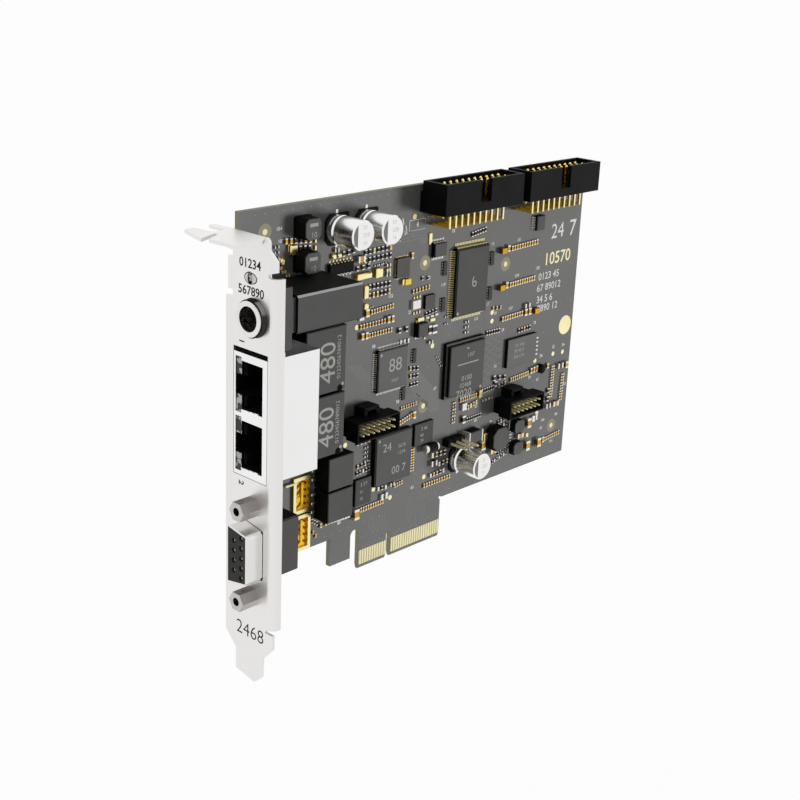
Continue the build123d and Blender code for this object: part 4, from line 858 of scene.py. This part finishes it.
# A black strip behind the gap between the bracket's window and the shield: painted shade, not a part.
box(trim, -59.66, -59.2, -14.55, -2.4, 75.65, 76.72, 0.05, 1)
trim.make("shield_trim", "shield_metal")

# Headers, inductors and can bases in their true form
for name, x, z, hook in (("small_header_left", -13.0, 45.5, -13.1), ("small_header_right", 52.7, 37.0, 50.95)):
    shell = Solids(shell_black)
    shell.block(x, z, 15.3, 4.6, 2.7, cut=0.1)
    tray = ((16.5, 5.8, 0.2, 2.6), (16.5, 5.8, 0.2, 7.05), (16.3, 5.6, 0.2, 7.2), (15.5, 4.8, 0.15, 7.2),
            (15.4, 4.7, 0.15, 3.1))
    outlines(shell, [(rect(x, z, w, l, cut), height) for w, l, cut, height in tray])
    for s in (-1, 1):
        shell.block(hook + s * 2.3, z + 3.9, 1.2, 2.2, 4.0, base=0.3, cut=0.1, bevel=0.1)
    shell.block(hook, z + 4.9, 5.8, 1.0, 4.0, base=0.3, cut=0.25, bevel=0.12)
    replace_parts(shell.make(name + "_body", "connector_plastic"), name + "_shell")
    pins = Solids(pin_gold)
    for i in range(7):
        for s in (-1, 1):
            round_pin(pins, x + (i - 3) * SMALL_PITCH, z + s, 3.0, 7.4, 0.36)
    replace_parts(pins.make(name + "_pencils", "gold_plate", smooth=40), name + "_pins")

cells, posts = Solids(shell_black), Solids(pin_gold)
for i in range(3):
    x = 25.6 + (i - 1) * HEADER_PITCH
    cells.block(x, 30.5, HEADER_PITCH, HEADER_PITCH, HEADER_PITCH, cut=0.4, bevel=0.12)
    round_pin(posts, x, 30.5, 2.4, 8.9, 0.42)
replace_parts(cells.make("pin_row_base", "connector_plastic"), "pin_header_base")
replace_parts(posts.make("pin_row_posts", "gold_plate", smooth=40), "pin_header_pins")

tips = Solids(gold)
for middle in BOX_HEADERS:
    for i in range(10):
        for y in (-7.35, -4.81):
            x = middle + (i - 4.5) * HEADER_PITCH
            tips.stack([[(x - h, y - h, z), (x + h, y - h, z), (x + h, y + h, z), (x - h, y + h, z)]
                        for z, h in ((109.3, 0.315), (109.75, 0.30), (110.2, 0.14))])
tips.make("header_pin_tips", "gold_plate")


def inductor(solids, x, z, w, l, base, top, cut, ease, foot=None):
    """A ferrite block with cut corners, its top edge eased, and a tinned foot on each side."""
    drop, shrink, uncut = ease
    outline = rect(x, z, w, l, cut)
    top_outline = rect(x, z, w - shrink, l - shrink, cut - uncut)
    outlines(solids, [(outline, base), (outline, top - drop), (top_outline, top)])
    if foot:
        shift, *size = foot
        for s in (-1, 1):
            solids.block(x + s * shift, z, *size, cut=0.05, kind=1)


group = Solids(core_grey, tin)
inductor(group, 45.0, 27.0, 7.5, 7.3, 0.25, 4.0, 1.8, (0.2, 0.4, 0.15), (3.3, 1.3, 3.4, 0.3))
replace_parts(group.make("output_core", "ferrite"), "output_inductor")
group = Solids(core_grey, tin)
for x, z in ((55.8, 28.2), (55.9, 20.8)):
    inductor(group, x, z, 4.8, 4.2, 0.2, 2.5, 0.9, (0.15, 0.3, 0.1), (2.1, 0.8, 2.2, 0.25))
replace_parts(group.make("small_cores", "ferrite"), "core_inductors")
group = Solids(core_grey, shell_black)
for x, z in ((-36.5, 103.3), (-36.5, 94.6)):
    group.plate(rect(x, z, 5.8, 5.8, 0.5), 0.8, kind=1)
    inductor(group, x, z, 5.5, 5.5, 0.8, 4.4, 1.0, (0.2, 0.3, 0.05))
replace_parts(group.make("filter_cores", "ferrite"), "filter_inductors")

seats = Solids(shell_black, can_metal)
SEAT_HALF, SEAT_CUT = 4.15, 1.6
for x, z in CANS:
    left, right, low, high = x - SEAT_HALF, x + SEAT_HALF, z - SEAT_HALF, z + SEAT_HALF
    seats.plate([(left + SEAT_CUT, low), (right, low), (right, high), (left + SEAT_CUT, high),
                 (left, high - SEAT_CUT), (left, low + SEAT_CUT)], 0.5)
    seats.tube((x, z, [level(0.45), level(1.3), level(1.45)]), [4.0, 4.0, 3.9], axis="y", sides=40, kind=1)
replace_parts(seats.make("can_seats", "connector_plastic", smooth=40), "can_bases")

# Painted light on the status light: the white crescents are painted highlights on its dome, and the dark crescents
# beside them are painted shade.
lamp_painted_light = Solids(white_cap, black_and_shade)
LAMP_Y, LAMP_Z = -8.2, 95.0
turns = [math.radians(angle) for angle in range(20, 161, 10)]
LAMP_ARCS = ((1, 1.9, 1.3, 0.04, 0), (-1, 2.3, 1.3, 0.04, 0), (1, 2.15, 1.5, 0.02, 1), (-1, 2.55, 1.5, 0.02, 1))
for s, wide, high, out, kind in LAMP_ARCS:
    arc = [(LAMP_Y + s * wide * math.sin(t), LAMP_Z + high * math.cos(t)) for t in turns]
    arc += [(LAMP_Y + s * (0.45 + 0.45 * math.sin(t)), LAMP_Z + 1.25 * math.cos(t)) for t in reversed(turns)]
    lamp_painted_light.stack([[(x, y, z) for y, z in arc] for x in (SHEET + 0.05, SHEET - out)], kind)
lamp_painted_light.make("status_light_face", "light_window")

# The D connector's contacts, seen in the holes of its face
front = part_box("dsub_insulator")[0].x / MM
holes = Solids(pin_gold)
for y, count in ((DSUB_Y - 1.42, 5), (DSUB_Y + 1.42, 4)):
    for i in range(count):
        z = DSUB_Z + (i - (count - 1) / 2) * DSUB_PITCH
        holes.tube((y, z, [front + 0.5, front + 1.3]), [0.36, 0.36], sides=14)
holes.make("dsub_contact_faces", "gold_plate", smooth=40)

# What lies inside the two gold frames, and the bare pin beside them
amber = finish("amber", (0.95, 0.50, 0.02), 0.4, 0.15, vary=0.25, grain=1500, bump=0.3, specular=0.4)
umber = finish("umber", (0.16, 0.075, 0.008), 0.5, vary=0.2, grain=1500, specular=0.1)
inside = Solids(amber, umber, finger_gold)
for x, z in FRAMES:
    inside.plate(rect(x, z, 4.4, 8.6), 0.12)
    for k in range(4):
        low = z - 3.9 + k * 2.0
        inside.ribbon([(x - 1.9, low), (x + 0.3, low + 1.5), (x + 1.9, low + 0.7)], 0.7, 0.1, 1, base=0.12)
    inside.block(x + 0.1, z + 0.4, 0.9, 6.4, 0.5, base=0.12, cut=0.1, bevel=0.12)
    inside.block(x - 1.2, z - 1.2, 1.3, 1.5, 0.4, base=0.12, cut=0.1, bevel=0.12)
inside.block(-39.9, 33.8, 3.6, 0.7, 0.6, base=0.5, cut=0.1, bevel=0.12, kind=2)
inside.make("frame_insides", "gold_plate")

between = Solids(finish("finger_gap", (0.36, 0.33, 0.20), 0.5, vary=0.05))
for x0, x1 in ((-12.15, -1.3), (1.3, 22.15)):
    between.plate(rect((x0 + x1) / 2, 3.45, x1 - x0, 4.5), 0.01)
between.make("edge_contact_gaps", "board_mask")

# Solder and pin tips on the back
solder = Solids(tin)


def joint(x, z, r=0.85, h=0.75, tip=0.3):
    places = [BACK, BACK + h * 0.35, BACK + h * 0.75, BACK + h, BACK + h + 0.15]
    solder.tube((x, z, places), [r, r * 0.7, tip * 1.25, tip, tip * 0.5], axis="y", sides=10)


for middle in BOX_HEADERS:
    for i in range(10):
        for row in (0, 1):
            joint(middle + (i - 4.5) * HEADER_PITCH, 100.39 - row * HEADER_PITCH)
for x, z in ((-13.2, 46.1), (52.4, 37.4)):
    for i in range(7):
        for s in (-1, 1):
            joint(x + (i - 3) * SMALL_PITCH, z + s, 0.7, 0.6, 0.25)
for i in range(3):
    for s in (-1, 1):
        joint(25.4 + (i - 1) * HEADER_PITCH, 30.8 + s * 1.27)
for x in (-48.0, -43.0, -38.0):
    joint(x, 85.4, 1.3, 0.8, 0.5)
for z in PORTS:
    for i in range(8):
        joint(-45.4 - (i % 2) * 2.2, z + (i - 3.5) * 1.4, 0.6, 0.6, 0.25)
for z in (45.0, 59.45, 73.9):
    joint(-52.5, z, 1.6, 0.8, 0.7)
for i in range(5):
    joint(-50.6, DSUB_Z + (i - 2) * DSUB_PITCH, 0.8)
for i in range(4):
    joint(-53.4, DSUB_Z + (i - 1.5) * DSUB_PITCH, 0.8)
joint(-53.6, 35.6, 1.7, 0.8, 0.9)
solder.make("solder_joints", "bright_metal", smooth=50)

back_vias = Solids(tin)
for i in range(260):
    x, z = rng.uniform(-55, 80), rng.uniform(15, 107)
    back_vias.plate(disc(x, z, 0.2, 8), 0.03, side=-1)
back_vias.make("back_vias", "gold_plate")
back_tracks = Solids(trace_mask)
for i in range(26):
    x = -6 + i * 1.5
    low, high = 48 - (i % 3) * 2, 74 + (i % 4) * 2
    back_tracks.ribbon([(x, 22 + (i % 5)), (x, low), (x + 4, low + 4), (x + 4, high)], 0.18, side=-1)
for i in range(14):
    z = 60 + i * 1.4
    end = z + 4 if i % 2 else z - 4
    back_tracks.ribbon([(-50, z), (-28 + i * 0.6, z), (-24 + i * 0.6, end), (-8, end)], 0.18, side=-1)
back_tracks.make("back_tracks", "board_mask")

back_parts = Solids(*KINDS)


def back_part(*size):
    back_parts.chip_part(*size, TIN, side=-1, ease=0.04)


for i in range(6):
    for j in range(6):
        back_part(22.5 + i * 2.4, 47.0 + j * 2.4, 1.0, 0.5, 0.5, "x" if (i + j) % 2 else "z", BROWN)
for i in range(5):
    for j in range(5):
        back_part(-5.6 + i * 2.3, 27.6 + j * 2.3, 1.0, 0.5, 0.5, "z", BROWN if j % 2 else DARK)
for i in range(9):
    back_part(44 + i * 2.6, 70.0, 1.6, 0.8, 0.7, "z", BROWN)
    back_part(44 + i * 2.6, 80.5, 1.6, 0.8, 0.7, "z", DARK)
back_parts.make("back_parts", "ceramic")

# Stage: floor, light and camera
FLOOR_HALF, FLOOR_DROP, FLOOR_GLOW = 12.0, 0.0004, 0.97
floor_mesh = bpy.data.meshes.new("floor")
floor_z = cad_box[0].z - FLOOR_DROP
corners = [(x * FLOOR_HALF, y * FLOOR_HALF, floor_z) for x, y in ((-1, -1), (1, -1), (1, 1), (-1, 1))]
floor_mesh.from_pydata(corners, [], [(0, 1, 2, 3)])
floor = new_object("floor", floor_mesh)
floor.visible_shadow = False


def seen(tree):
    """1 where a camera, glossy or transmission ray looks, 0 for light that falls on the object."""
    path = tree.nodes.new("ShaderNodeLightPath").outputs
    out = path["Is Camera Ray"]
    for other in ("Is Glossy Ray", "Is Transmission Ray"):
        out = reckon(tree, "MAXIMUM", out, path[other])
    return out


def show(tree, amount, plain, shown, output):
    """Mix from plain to shown by the amount, and put out the result."""
    both = add(tree, "MixShader", {0: amount, 1: plain.outputs[0], 2: shown.outputs[0]})
    add(tree, output, {"Surface": both.outputs[0]})


floor_mat, tree, _ = new_material("floor")
tree.nodes.clear()
plain = add(tree, "BsdfDiffuse", {"Color": (0.85, 0.85, 0.85, 1)})
glow = add(tree, "Emission", {"Color": (1, 1, 1, 1), "Strength": 1.0})
show(tree, reckon(tree, "MULTIPLY", seen(tree), FLOOR_GLOW), plain, glow, "OutputMaterial")
floor_mesh.materials.append(floor_mat)

world = bpy.data.worlds.new("studio")
bpy.context.scene.world = world
world.use_nodes = True
tree = world.node_tree
tree.nodes.clear()
fill = add(tree, "Background", {"Color": (1.0, 0.99, 0.98, 1), "Strength": 0.22})
shown = add(tree, "Background", {"Color": (1, 1, 1, 1), "Strength": 1.0})
show(tree, seen(tree), fill, shown, "OutputWorld")


def sun(name, toward, strength, spread_angle):
    """A lamp far away in the direction given. Shiny surfaces show the plain surroundings and not the lamp."""
    data = bpy.data.lights.new(name, "SUN")
    data.energy = strength
    data.angle = math.radians(spread_angle)
    lamp = new_object(name, data)
    lamp.rotation_mode = "QUATERNION"
    lamp.rotation_quaternion = Vector(toward).to_track_quat("Z", "Y")
    lamp.visible_glossy = False


sun("key", (0.67, -0.72, -0.17), 3.55, 18)
sun("side", (-0.62, -0.25, 0.74), 0.4, 50)
sun("back", (0.25, 0.95, 0.2), 2.2, 30)

# Camera, as fitted to the photo
LENS_PX, PICTURE_PX = 1403.056, 800.0
AZIMUTH, ELEVATION, ROLL = -47.183, 19.099, 2.469
CAMERA_AT = (-0.273841, -0.256901, 0.17869)
a, e, r = (math.radians(angle) for angle in (AZIMUTH, ELEVATION, ROLL))
back = Vector((math.sin(a) * math.cos(e), -math.cos(a) * math.cos(e), math.sin(e)))
right = (-back).cross(Vector((0, 0, 1))).normalized()
up = right.cross(-back)
right, up = math.cos(r) * right + math.sin(r) * up, -math.sin(r) * right + math.cos(r) * up
cam = bpy.data.cameras.new("camera")
cam.sensor_fit = "HORIZONTAL"
cam.sensor_width = 36.0
cam.lens = LENS_PX * cam.sensor_width / PICTURE_PX
cam.clip_start = 0.01
cam.clip_end = 20.0
camera = new_object("camera", cam)
turn = Matrix((right, up, back)).transposed().to_4x4()
camera.matrix_world = Matrix.Translation(CAMERA_AT) @ turn
bpy.context.scene.camera = camera
bpy.context.scene.view_settings.view_transform = "Standard"
